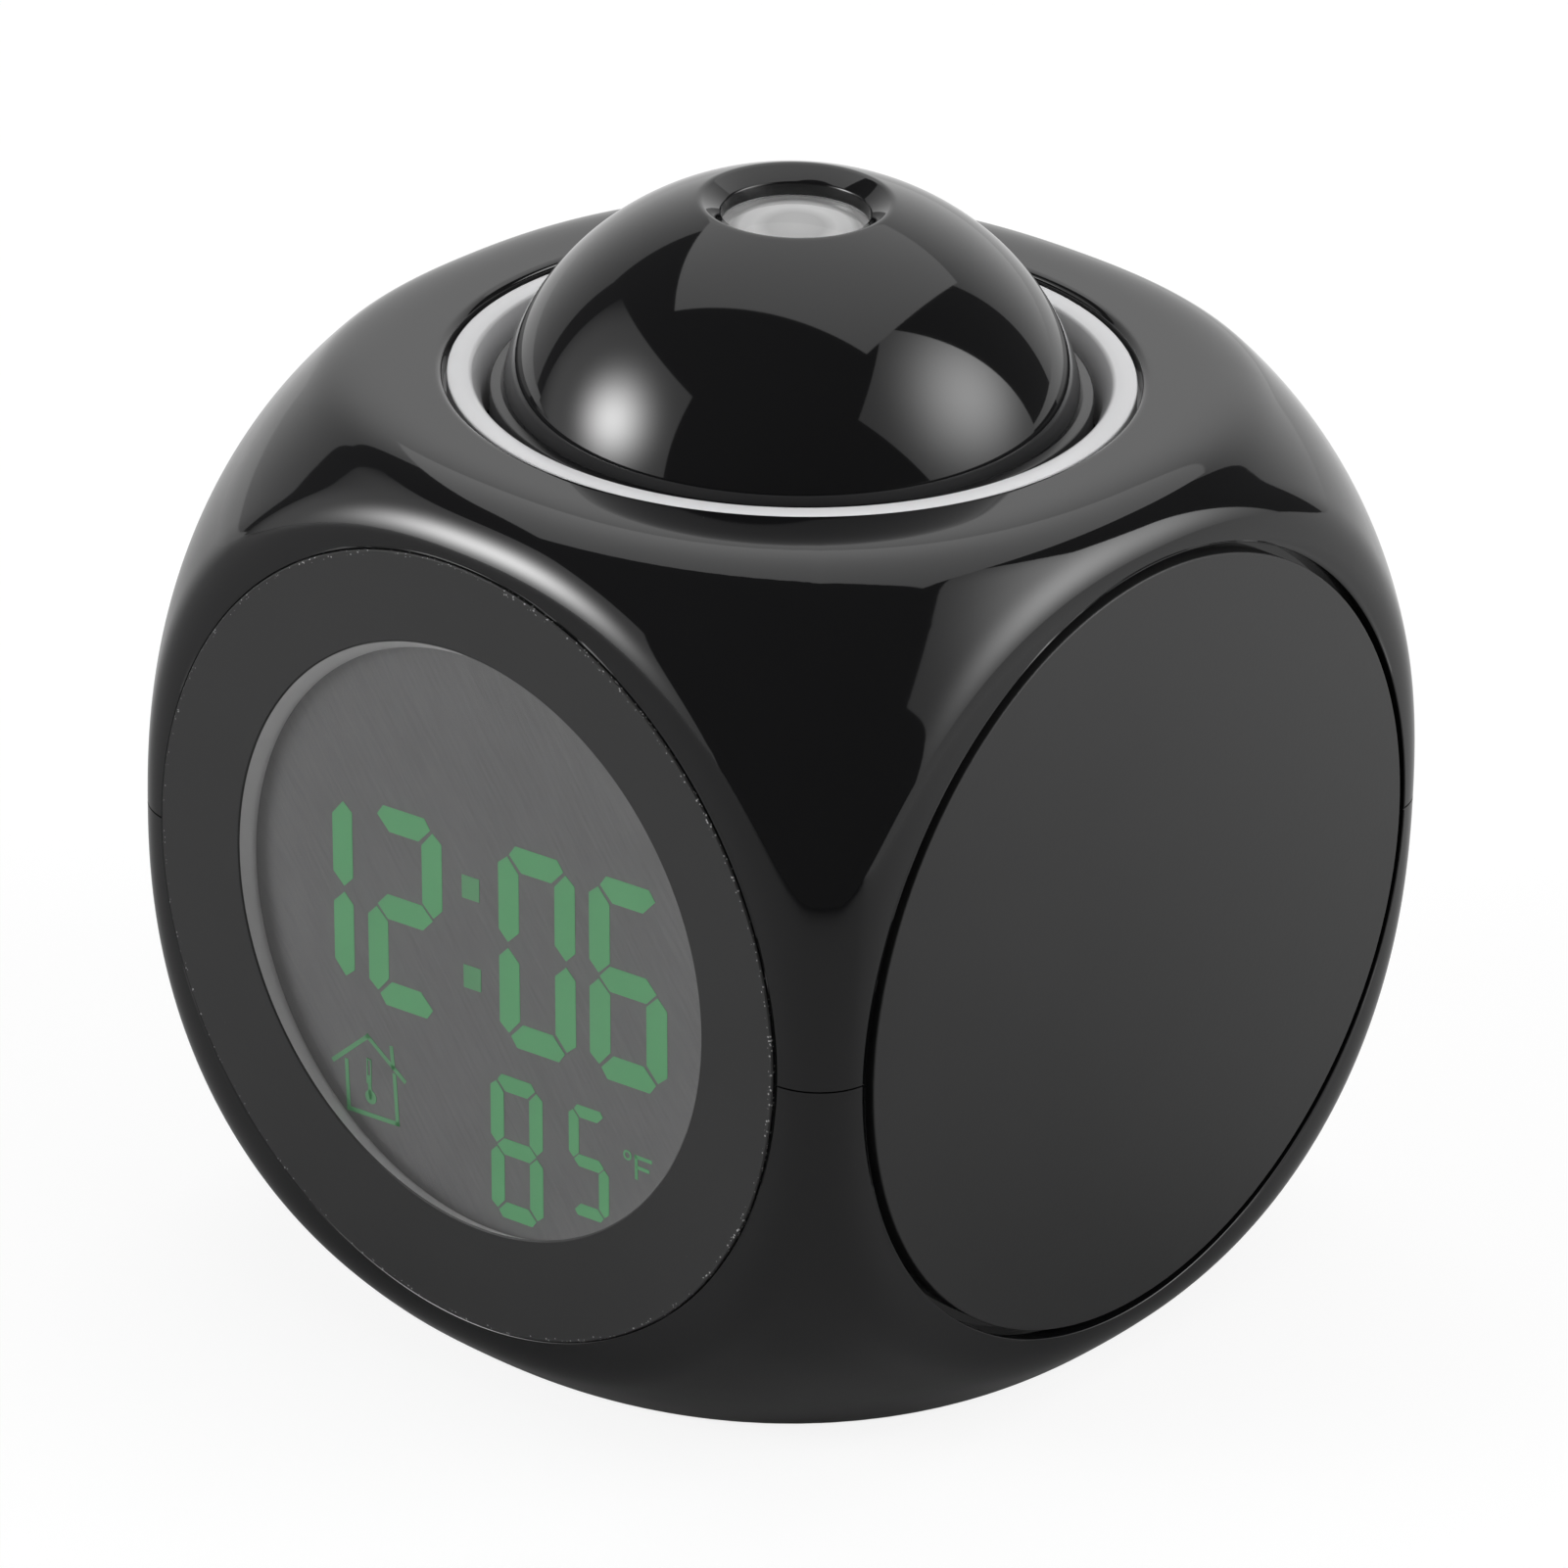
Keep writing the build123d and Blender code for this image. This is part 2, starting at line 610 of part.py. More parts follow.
# The rubber strip that carries the display's signals from the glass to the board.
with BuildPart() as contact_strip:
    with BuildSketch(inside(FRONT, backlight_depth)):
        with Locations((0, STRIP_ROW)):
            Rectangle(STRIP_WIDTH, STRIP_THICKNESS)
    extrude(amount=-strip_depth)
finish(contact_strip.part, "contact_strip")

with BuildPart() as main_board:
    with BuildSketch(inside(FRONT, frame_end_depth)):
        RectangleRounded(BOARD_WIDTH, BOARD_HEIGHT, BOARD_CORNER)
        with Locations(*display_screw_places):
            Circle(board_screw_bore, mode=Mode.SUBTRACT)
    extrude(amount=-BOARD_THICKNESS)
    # Sealed chip, crystal and capacitors on the board's inner face.
    with BuildSketch(inside(FRONT, board_end_depth)):
        with Locations(CHIP_PLACE):
            Circle(CHIP_RADIUS)
        with Locations(CRYSTAL_PLACE):
            Rectangle(*CRYSTAL_SIZE)
        with Locations(*CAPACITOR_PLACES):
            Circle(CAPACITOR_RADIUS)
        with Locations(DRIVER_PLACE):
            Rectangle(*DRIVER_SIZE)
    extrude(amount=-CHIP_HEIGHT)
    with BuildSketch(inside(FRONT, board_end_depth)):
        with Locations((0, RIBBON_ROW)):
            Rectangle(RIBBON_WIDTH + 2 * SOCKET_EAR, SOCKET_SIZE)
        with Locations((0, DECK_LEAD_ROW)):
            Rectangle(DECK_LEAD_WIDTH + 2 * SOCKET_EAR, SOCKET_SIZE)
    extrude(amount=-SOCKET_SIZE)
finish(main_board.part, "main_board")

finish(
    screws(
        Plane(origin=inside(FRONT, board_end_depth).origin, x_dir=(1, 0, 0), z_dir=(0, 1, 0)),
        [(x, -z) for x, z in display_screw_places], BOARD_SCREW_RADIUS,
        BOARD_SCREW_HEAD, BOARD_SCREW_HEAD_HEIGHT,
        board_end_depth - boss_root_depth - SCREW_END_GAP,
    ),
    "display_screws",
)

# ================================================================ side plates
for name, face in (("side_plate_right", RIGHT), ("side_plate_left", LEFT)):
    with BuildPart() as side_plate:
        with BuildSketch(face):
            Circle(PLATE_RADIUS)
        extrude(amount=-DISC_THICKNESS)
        outer_face = side_plate.faces().sort_by(SortBy.AREA)[-2:].sort_by(Axis(face.origin, face.z_dir))[-1]
        chamfer(outer_face.edges(), DISC_CHAMFER)
        add_spigot(face, DISC_THICKNESS)
    finish(side_plate.part, name)

# ================================================================ rear panel
key_places = [(KEY_PITCH * (n - (KEY_COUNT - 1) / 2), KEY_ROW) for n in range(KEY_COUNT)]
rear_posts = [(x * REAR_POST_X, row) for x in (-1, 1) for row in REAR_POST_ROWS]
slot_length = SLIDE_TRAVEL + SLIDE_KNOB_WIDTH + 2 * SLIDE_GAP
slot_height = SLIDE_KNOB_HEIGHT + 2 * SLIDE_GAP
rear_board_end = REAR_BOARD_DEPTH + BOARD_THICKNESS
rear_board_back = Plane(
    origin=inside(REAR, rear_board_end).origin, x_dir=(1, 0, 0), z_dir=(0, -1, 0)
)

with BuildPart() as rear_panel:
    with BuildSketch(inside(REAR, REAR_RECESS)):
        Circle(PLATE_RADIUS)
    extrude(amount=-DISC_THICKNESS)
    add_spigot(REAR, rear_seat_depth)
    add_round_bosses(
        inside(REAR, REAR_BOARD_DEPTH), rear_posts, REAR_POST_RADIUS,
        board_screw_bore, REAR_BOARD_DEPTH - rear_seat_depth,
    )
    with BuildSketch(inside(REAR, rear_seat_depth)):
        with Locations((0, SPEAKER_ROW)):
            Circle(SPEAKER_RADIUS + SPEAKER_RING_GAP + SPEAKER_RING_WALL)
            Circle(SPEAKER_RADIUS + SPEAKER_RING_GAP, mode=Mode.SUBTRACT)
    extrude(amount=-SPEAKER_RING_DEPTH)
    with BuildSketch(REAR):
        with Locations(*key_places):
            Circle(KEY_RADIUS + KEY_GAP)
        with Locations((0, SLIDE_ROW)):
            Rectangle(slot_length, slot_height)
        with Locations((0, SPEAKER_ROW)):
            Circle(GRILLE_HOLE_RADIUS)
            for ring in range(1, GRILLE_RINGS + 1):
                with PolarLocations(GRILLE_PITCH * ring, GRILLE_SPOKES * ring):
                    Circle(GRILLE_HOLE_RADIUS)
    extrude(amount=-rear_seat_depth, mode=Mode.SUBTRACT)
finish(rear_panel.part, "rear_panel")

with BuildPart() as rear_board:
    with BuildSketch(inside(REAR, REAR_BOARD_DEPTH)):
        with Locations((0, REAR_BOARD_ROW)):
            RectangleRounded(REAR_BOARD_WIDTH, REAR_BOARD_HEIGHT, BOARD_CORNER)
        with Locations(*rear_posts):
            Circle(board_screw_bore, mode=Mode.SUBTRACT)
    extrude(amount=-BOARD_THICKNESS)
    with BuildSketch(inside(REAR, rear_board_end)):
        with Locations((0, RIBBON_ROW)):
            Rectangle(RIBBON_WIDTH + 2 * SOCKET_EAR, SOCKET_SIZE)
    extrude(amount=-SOCKET_SIZE)
finish(rear_board.part, "rear_board")

finish(
    screws(rear_board_back, rear_posts, BOARD_SCREW_RADIUS, BOARD_SCREW_HEAD,
           BOARD_SCREW_HEAD_HEIGHT, BOARD_SCREW_LENGTH),
    "rear_board_screws",
)

with BuildPart() as key_switches:
    with BuildSketch(inside(REAR, REAR_BOARD_DEPTH)):
        with Locations(*key_places):
            Rectangle(SWITCH_SIZE, SWITCH_SIZE)
    extrude(amount=KEY_SWITCH_HEIGHT)
    with BuildSketch(inside(REAR, REAR_BOARD_DEPTH - KEY_SWITCH_HEIGHT)):
        with Locations(*key_places):
            Circle(PLUNGER_RADIUS + PLUNGER_GAP)
    extrude(amount=-KEY_SWITCH_HOLE, mode=Mode.SUBTRACT)
finish(key_switches.part, "key_switches")

key_flange_depth = rear_seat_depth + KEY_SEAT_GAP
key_face_depth = REAR_RECESS - KEY_STAND
for number, place in enumerate(key_places, start=1):
    with BuildPart() as key:
        with BuildSketch(inside(REAR, key_face_depth)):
            with Locations(place):
                Circle(KEY_RADIUS)
        extrude(amount=-(key_flange_depth - key_face_depth))
        fillet(key.faces().sort_by(Axis.Y)[-1].edges(), KEY_FILLET)
        with BuildSketch(inside(REAR, key_flange_depth)):
            with Locations(place):
                Circle(KEY_RADIUS + KEY_FLANGE)
        extrude(amount=-KEY_FLANGE_THICKNESS)
        with BuildSketch(inside(REAR, key_flange_depth + KEY_FLANGE_THICKNESS)):
            with Locations(place):
                Circle(PLUNGER_RADIUS)
        extrude(amount=-KEY_STEM)
    finish(key.part, f"rear_key_{number}")

# The knob rests at one end of its slot and slides to the other.
knob_place = (-SLIDE_TRAVEL / 2, SLIDE_ROW)
knob_flange_length = slot_length + SLIDE_TRAVEL + 2 * SLIDE_GAP
with BuildPart() as slide_knob:
    with BuildSketch(inside(REAR, key_face_depth)):
        with Locations(knob_place):
            Rectangle(SLIDE_KNOB_WIDTH, SLIDE_KNOB_HEIGHT)
    extrude(amount=-(key_flange_depth - key_face_depth))
    with BuildSketch(inside(REAR, key_face_depth)):
        with Locations(knob_place):
            with GridLocations(SLIDE_KNOB_WIDTH / 4, 1, 3, 1):
                Rectangle(KNOB_GROOVE, SLIDE_KNOB_HEIGHT)
    extrude(amount=-KNOB_GROOVE, mode=Mode.SUBTRACT)
    with BuildSketch(inside(REAR, key_flange_depth)):
        with Locations(knob_place):
            Rectangle(knob_flange_length, slot_height + 2 * KEY_FLANGE)
    extrude(amount=-KEY_FLANGE_THICKNESS)
    with BuildSketch(inside(REAR, key_flange_depth + KEY_FLANGE_THICKNESS)):
        with Locations(knob_place):
            Rectangle(SLIDE_STEM, SLIDE_STEM)
    extrude(amount=-SLIDE_STEM_LENGTH)
finish(slide_knob.part, "slide_knob")

with BuildPart() as slide_switch:
    with BuildSketch(inside(REAR, REAR_BOARD_DEPTH)):
        with Locations((0, SLIDE_ROW)):
            Rectangle(SLIDE_BODY_WIDTH, SLIDE_BODY_HEIGHT)
    extrude(amount=SLIDE_BODY_STAND)
    with BuildSketch(inside(REAR, REAR_BOARD_DEPTH - SLIDE_BODY_STAND)):
        with Locations((0, SLIDE_ROW)):
            Rectangle(SLIDE_TRAVEL + SLIDE_STEM + 2 * SLIDE_GAP, SLIDE_STEM + 2 * SLIDE_GAP)
    extrude(amount=-SLIDE_SLOT_DEPTH, mode=Mode.SUBTRACT)
finish(slide_switch.part, "slide_switch")

# ================================================================ speaker
speaker_axis = Axis((0, HALF_WIDTH, PARTING_HEIGHT + SPEAKER_ROW), (0, -1, 0))
# Profiles are drawn as (radius, depth inside the rear flat).
speaker_plane = Plane(origin=speaker_axis.position, x_dir=(1, 0, 0), z_dir=(0, 0, -1))
seat = rear_seat_depth
cone_top = seat + CONE_FIT
speaker_frame = turned(
    [
        (CONE_RADIUS + CONE_FIT, seat), (SPEAKER_RADIUS, seat), (SPEAKER_RADIUS, seat + BASKET_LEDGE),
        (CONE_RADIUS + BASKET_LEDGE, seat + BASKET_LEDGE),
        (MAGNET_RADIUS + BASKET_FLOOR, seat + BASKET_DEPTH), (MAGNET_RADIUS, seat + BASKET_DEPTH),
        (MAGNET_RADIUS, seat + SPEAKER_DEPTH), (0, seat + SPEAKER_DEPTH),
        (0, seat + BASKET_DEPTH - BASKET_SHEET),
        (MAGNET_RADIUS + BASKET_FLOOR - BASKET_SHEET, seat + BASKET_DEPTH - BASKET_SHEET),
        (CONE_RADIUS + CONE_FIT, seat + BASKET_LEDGE - BASKET_SHEET / 2),
    ],
    speaker_axis, speaker_plane,
)
finish(speaker_frame.part, "speaker_frame")
speaker_cone = turned(
    [
        (CONE_RADIUS, cone_top), (CONE_RADIUS, cone_top + CONE_SHEET),
        (CAP_RADIUS, cone_top + CONE_DEPTH + CONE_SHEET),
        (0, cone_top + CONE_DEPTH + CONE_SHEET - CAP_RISE), (0, cone_top + CONE_DEPTH - CAP_RISE),
        (CAP_RADIUS, cone_top + CONE_DEPTH),
    ],
    speaker_axis, speaker_plane,
)
finish(speaker_cone.part, "speaker_cone")

# ================================================================ battery bay
cell_axis_height = door_top + CELL_CLEARANCE + CELL_RADIUS
cell_places = [CELL_PITCH * (n - (CELL_COUNT - 1) / 2) for n in range(CELL_COUNT)]
contact_face = BAY_LENGTH / 2 - CONTACT_THICKNESS
cell_body_length = CELL_LENGTH - CELL_NUB_LENGTH
# +1 where a cell's nub points to the rear, -1 where it points to the front.
cell_ways = [-1 if n % 2 == 0 else 1 for n in range(CELL_COUNT)]

with BuildPart() as battery_door:
    with BuildSketch(Plane.XY.offset(DOOR_RECESS)):
        Rectangle(2 * (bay_half_x - DOOR_GAP), 2 * (bay_half_y - DOOR_GAP))
    extrude(amount=DOOR_THICKNESS)
    with BuildSketch(Plane.XY.offset(DOOR_RECESS)):
        with Locations((0, bay_half_y)):
            Circle(DOOR_NOTCH_RADIUS)
    extrude(amount=DOOR_NOTCH_DEPTH, mode=Mode.SUBTRACT)
    with BuildSketch(Plane.XY.offset(door_top)):
        with GridLocations(CELL_PITCH, 1, CELL_COUNT - 1, 1):
            Rectangle(DOOR_RIB, cell_body_length - 2 * CELL_NUB_RADIUS)
    extrude(amount=DOOR_RIB)
finish(battery_door.part, "battery_door")

for number, (x, way) in enumerate(zip(cell_places, cell_ways), start=1):
    nub_face = Plane(origin=(x, way * contact_face, cell_axis_height), z_dir=(0, way, 0))
    with BuildPart() as cell:
        with BuildSketch(nub_face):
            Circle(CELL_NUB_RADIUS)
        extrude(amount=-CELL_LENGTH)
        with BuildSketch(nub_face.offset(-CELL_NUB_LENGTH)):
            Circle(CELL_RADIUS)
        extrude(amount=-cell_body_length)
    finish(cell.part, f"battery_cell_{number}")

with BuildPart() as battery_contacts:
    with Locations((0, 0, cell_axis_height)):
        with GridLocations(CELL_PITCH, 2 * contact_face + CONTACT_THICKNESS, CELL_COUNT, 2):
            Box(CONTACT_SIZE, CONTACT_THICKNESS, CONTACT_SIZE)
    for way in (-1, 1):
        with Locations((way * CELL_PITCH / 2, way * (contact_face + CONTACT_THICKNESS / 2), cell_axis_height)):
            Box(CELL_PITCH, CONTACT_THICKNESS, CONTACT_SIZE / 4)
finish(battery_contacts.part, "battery_contacts")

contact_spring_length = 2 * contact_face - CELL_LENGTH - 2 * SPRING_END_GAP - CONTACT_WIRE
with BuildPart() as battery_springs:
    for x, way in zip(cell_places, cell_ways):
        start = -way * (contact_face - SPRING_END_GAP - CONTACT_WIRE / 2)
        with BuildLine() as coil:
            Helix(
                contact_spring_length / CONTACT_TURNS, contact_spring_length, CONTACT_COIL_RADIUS,
                center=(x, start, cell_axis_height), direction=(0, way, 0), cone_angle=CONTACT_TAPER,
            )
        with BuildSketch(Plane(coil.line @ 0, z_dir=coil.line % 0)):
            Circle(CONTACT_WIRE / 2)
        sweep(path=coil.line, is_frenet=True)
finish(battery_springs.part, "battery_springs")

# ================================================================ trim ring, carrier and dome
ring_top = BODY_HEIGHT - RING_DROP
ring_outer = TOP_OPENING_RADIUS - RING_GAP
carrier_bottom = BODY_HEIGHT - CARRIER_DEPTH
carrier_floor_top = carrier_bottom + CARRIER_FLOOR
carrier_flange_top = carrier_bottom + CARRIER_FLANGE_THICKNESS
skirt_bottom = carrier_flange_top + STOP_GAP
dome_centre = BODY_HEIGHT - DOME_CENTRE_DROP
dome_seat = BODY_HEIGHT - DOME_SEAT_DROP
locating_top = dome_seat + LOCATING_RISE


def dome_reach(height, inset):
    """Distance from the axis to the dome's outline, inset from its skin, at one height."""
    share = (height - dome_centre) / (DOME_RISE - inset)
    return (DOME_RADIUS - inset) * sqrt(1 - share**2)


def dome_height(out, inset):
    """Height of the dome's outline, inset from its skin, this far out."""
    share = out / (DOME_RADIUS - inset)
    return dome_centre + (DOME_RISE - inset) * sqrt(1 - share**2)


trim_ring = turned(
    [
        (RING_THROAT_RADIUS, skirt_bottom),
        (RING_THROAT_RADIUS + RING_SKIRT_WALL, skirt_bottom),
        (RING_THROAT_RADIUS + RING_SKIRT_WALL, ring_flange_bottom),
        (RING_FLANGE_RADIUS, ring_flange_bottom),
        (RING_FLANGE_RADIUS, ring_flange_bottom + RING_FLANGE_THICKNESS),
        (ring_outer, ring_flange_bottom + RING_FLANGE_THICKNESS),
        (ring_outer, ring_top),
        (ring_outer - RING_BAND, ring_top),
        (RING_THROAT_RADIUS, ring_top - RING_CONE_HEIGHT),
    ]
)
finish(trim_ring.part, "trim_ring")

deck_top = carrier_bottom - SPRING_LENGTH
deck_bottom = deck_top - DECK_FLOOR
small_board_top = deck_top + SMALL_BOARD_THICKNESS
switch_top = small_board_top + SWITCH_HEIGHT
plunger_tip = switch_top - SWITCH_HOLE + PLUNGER_GAP + DOME_TRAVEL
carrier_bore = CARRIER_RADIUS - CARRIER_WALL
locating_radius = dome_reach(locating_top, DOME_WALL) - LOCATING_GAP
locating_bore = locating_radius - LOCATING_WALL

with BuildPart() as dome_carrier:
    with BuildSketch(Plane.XZ):
        with BuildLine():
            Polyline(
                (0, carrier_bottom),
                (CARRIER_FLANGE_RADIUS, carrier_bottom),
                (CARRIER_FLANGE_RADIUS, carrier_flange_top),
                (CARRIER_RADIUS, carrier_flange_top),
                (CARRIER_RADIUS, dome_seat),
                (locating_radius, dome_seat),
                (locating_radius, locating_top),
                (locating_bore, locating_top),
                (locating_bore, dome_seat - LOCATING_WALL),
                (carrier_bore, dome_seat - 2 * LOCATING_WALL),
                (carrier_bore, carrier_floor_top),
                (0, carrier_floor_top),
                close=True,
            )
        make_face()
    revolve(axis=Axis.Z)
    with BuildSketch(Plane.XY.offset(carrier_bottom)):
        with PolarLocations(SPRING_PLACE, SPRING_COUNT):
            Circle(SEAT_PIN_RADIUS)
    extrude(amount=-CARRIER_PIN)
    with BuildSketch(Plane.XY.offset(carrier_bottom)):
        Circle(PLUNGER_RADIUS)
    extrude(amount=-(carrier_bottom - plunger_tip))
    with BuildSketch(Plane.XY.offset(carrier_bottom)):
        with PolarLocations(PROJECTOR_SCREW_PLACE, SPRING_COUNT, start_angle=180 / SPRING_COUNT):
            Circle(board_screw_bore)
        with Locations((0, -CARRIER_LEAD_PLACE)):
            Circle(CARRIER_LEAD_RADIUS)
    extrude(amount=CARRIER_FLOOR, mode=Mode.SUBTRACT)
finish(dome_carrier.part, "dome_carrier")

rim_top = dome_height(RIM_RADIUS, 0)
eye_end = rim_top - EYE_DEPTH
boss_outer = BARREL_RADIUS + BARREL_FIT + BOSS_WALL


def dome_arc(inset, low_height, high_out):
    """The dome's outline, inset from its skin, up from one height to one distance out."""
    start = asin((low_height - dome_centre) / (DOME_RISE - inset))
    end = acos(high_out / (DOME_RADIUS - inset))
    turns = [start + (end - start) * k / (DOME_POINTS - 1) for k in range(DOME_POINTS)]
    return Spline(
        *[((DOME_RADIUS - inset) * cos(t), dome_centre + (DOME_RISE - inset) * sin(t)) for t in turns]
    )


with BuildPart() as dome_cap:
    with BuildSketch(Plane.XZ):
        with BuildLine():
            outer_arc = dome_arc(0, dome_seat, RIM_RADIUS)
            inner_arc = dome_arc(DOME_WALL, dome_seat, boss_outer)
            Polyline(
                outer_arc @ 1,
                (EYE_RADIUS, rim_top - EYE_BEVEL),
                (EYE_RADIUS, eye_end),
                (BARREL_RADIUS + BARREL_FIT, eye_end),
                (BARREL_RADIUS + BARREL_FIT, eye_end - BOSS_DEPTH),
                (boss_outer, eye_end - BOSS_DEPTH),
                inner_arc @ 1,
            )
            Line(inner_arc @ 0, outer_arc @ 0)
        make_face()
    revolve(axis=Axis.Z)
finish(dome_cap.part, "dome_cap")

# ================================================================ projector
board_top = carrier_floor_top + BOARD_THICKNESS
box_top = board_top + LIGHT_BOX_HEIGHT
barrel_top = eye_end - BARREL_FIT
retainer_bottom = barrel_top - RETAINER_HEIGHT
lens_seat = retainer_bottom - LENS_EDGE
barrel_bore_top = BARREL_RADIUS - BARREL_WALL
light_box_bore = LIGHT_BOX_RADIUS - LIGHT_BOX_WALL

lens_barrel = turned(
    [
        (light_box_bore, board_top),
        (LIGHT_BOX_RADIUS + BARREL_FOOT, board_top),
        (LIGHT_BOX_RADIUS + BARREL_FOOT, board_top + BARREL_SHOULDER),
        (LIGHT_BOX_RADIUS, board_top + BARREL_SHOULDER),
        (LIGHT_BOX_RADIUS, box_top + BARREL_SHOULDER),
        (BARREL_RADIUS, box_top + 2 * BARREL_SHOULDER),
        (BARREL_RADIUS, barrel_top),
        (barrel_bore_top, barrel_top),
        (barrel_bore_top, lens_seat),
        (BARREL_BORE, lens_seat),
        (BARREL_BORE, box_top),
        (light_box_bore, box_top),
    ]
)
finish(lens_barrel.part, "lens_barrel")


def plano_convex(radius, edge, crown_radius, crown, base, way):
    """A lens with one flat side at the base height and a crown that points up or down."""
    ball = (crown_radius**2 + crown**2) / (2 * crown)
    with BuildPart() as lens:
        with BuildSketch(Plane.XZ):
            with BuildLine():
                rim = base + way * edge
                Polyline((0, rim + way * crown), (0, base), (radius, base), (radius, rim), (crown_radius, rim))
                RadiusArc((crown_radius, rim), (0, rim + way * crown), -way * ball)
            make_face()
        revolve(axis=Axis.Z)
    return lens


projection_lens = plano_convex(
    LENS_RADIUS, LENS_EDGE, LENS_RADIUS - LENS_LAND, LENS_CROWN, lens_seat, 1
)
finish(projection_lens.part, "projection_lens")

with BuildPart() as lens_retainer:
    with BuildSketch(Plane.XY.offset(retainer_bottom)):
        Circle(barrel_bore_top - CORE_CLEARANCE)
        Circle(RETAINER_INNER, mode=Mode.SUBTRACT)
    extrude(amount=RETAINER_HEIGHT)
finish(lens_retainer.part, "lens_retainer")

glass_bottom = box_top - PROJECTION_GLASS_THICKNESS
with BuildPart() as projection_glass:
    with BuildSketch(Plane.XY.offset(glass_bottom)):
        Rectangle(PROJECTION_GLASS, PROJECTION_GLASS)
    extrude(amount=PROJECTION_GLASS_THICKNESS)
finish(projection_glass.part, "projection_glass")

condenser_radius = light_box_bore - BARREL_FIT
condenser_lens = plano_convex(
    condenser_radius, CONDENSER_EDGE, condenser_radius - LENS_LAND,
    CONDENSER_THICKNESS - CONDENSER_EDGE, glass_bottom, -1,
)
finish(condenser_lens.part, "condenser_lens")

with BuildPart() as projector_led:
    with BuildSketch(Plane.XY.offset(board_top)):
        Circle(LED_RADIUS)
    extrude(amount=LED_HEIGHT)
    fillet(projector_led.faces().sort_by(Axis.Z)[-1].edges(), LED_FILLET)
finish(projector_led.part, "projector_led")

with BuildPart() as projector_board:
    with BuildSketch(Plane.XY.offset(carrier_floor_top)):
        Circle(PROJECTOR_BOARD_RADIUS)
        with PolarLocations(PROJECTOR_SCREW_PLACE, SPRING_COUNT, start_angle=180 / SPRING_COUNT):
            Circle(board_screw_bore, mode=Mode.SUBTRACT)
    extrude(amount=BOARD_THICKNESS)
finish(projector_board.part, "projector_board")

projector_places = [
    (loc.position.X, loc.position.Y)
    for loc in PolarLocations(PROJECTOR_SCREW_PLACE, SPRING_COUNT, start_angle=180 / SPRING_COUNT)
]
finish(
    screws(Plane.XY.offset(board_top), projector_places, BOARD_SCREW_RADIUS, BOARD_SCREW_HEAD,
           BOARD_SCREW_HEAD_HEIGHT, BOARD_THICKNESS + CARRIER_FLOOR - SCREW_END_GAP),
    "projector_screws",
)

# ================================================================ deck, switch and springs
deck_bore = DECK_RADIUS - DECK_WALL
with BuildPart() as top_deck:
    with BuildSketch(Plane.XY.offset(deck_bottom)):
        Circle(DECK_RADIUS)
    extrude(amount=ring_flange_bottom - deck_bottom)
    with BuildSketch(Plane.XY.offset(ring_flange_bottom)):
        with Locations(*ear_places):
            Circle(EAR_RADIUS)
        Rectangle(2 * EAR_PLACE, 2 * EAR_RADIUS)
        Rectangle(2 * EAR_RADIUS, 2 * EAR_PLACE)
    extrude(amount=-EAR_THICKNESS)
    with BuildSketch(Plane.XY.offset(deck_top)):
        Circle(deck_bore)
    extrude(amount=ring_flange_bottom - deck_top, mode=Mode.SUBTRACT)
    with BuildSketch(Plane.XY.offset(ring_flange_bottom)):
        with Locations(*ear_places):
            Circle(board_screw_bore)
    extrude(amount=-EAR_THICKNESS, mode=Mode.SUBTRACT)
    with BuildSketch(Plane.XY.offset(deck_top)):
        with PolarLocations(SPRING_PLACE, SPRING_COUNT):
            Circle(SEAT_PIN_RADIUS)
    extrude(amount=DECK_PIN)
    with BuildSketch(Plane.XY.offset(deck_bottom)):
        with Locations((0, -SPRING_PLACE)):
            Circle(LEAD_HOLE_RADIUS)
    extrude(amount=DECK_FLOOR, mode=Mode.SUBTRACT)
finish(top_deck.part, "top_deck")

ear_bottom = ring_flange_bottom - EAR_THICKNESS
finish(
    screws(Plane(origin=(0, 0, ear_bottom), x_dir=(1, 0, 0), z_dir=(0, 0, -1)), ear_places,
           BOARD_SCREW_RADIUS, BOARD_SCREW_HEAD, BOARD_SCREW_HEAD_HEIGHT,
           EAR_THICKNESS + RING_FLANGE_THICKNESS),
    "deck_screws",
)

with BuildPart() as dome_switch_board:
    with BuildSketch(Plane.XY.offset(deck_top)):
        Rectangle(SMALL_BOARD, SMALL_BOARD)
    extrude(amount=SMALL_BOARD_THICKNESS)
finish(dome_switch_board.part, "dome_switch_board")

with BuildPart() as dome_switch:
    with BuildSketch(Plane.XY.offset(small_board_top)):
        Rectangle(SWITCH_SIZE, SWITCH_SIZE)
    extrude(amount=SWITCH_HEIGHT)
    with BuildSketch(Plane.XY.offset(switch_top)):
        Circle(PLUNGER_RADIUS + PLUNGER_GAP)
    extrude(amount=-SWITCH_HOLE, mode=Mode.SUBTRACT)
finish(dome_switch.part, "dome_switch")

spring_height = SPRING_LENGTH - 2 * SPRING_END_GAP - SPRING_WIRE
with BuildPart() as dome_springs:
    for place in PolarLocations(SPRING_PLACE, SPRING_COUNT):
        with BuildLine() as coil:
            Helix(
                spring_height / SPRING_TURNS, spring_height, SPRING_RADIUS,
                center=(place.position.X, place.position.Y, deck_top + SPRING_END_GAP + SPRING_WIRE / 2),
            )
        with BuildSketch(Plane(coil.line @ 0, z_dir=coil.line % 0)):
            Circle(SPRING_WIRE / 2)
        sweep(path=coil.line, is_frenet=True)
finish(dome_springs.part, "dome_springs")

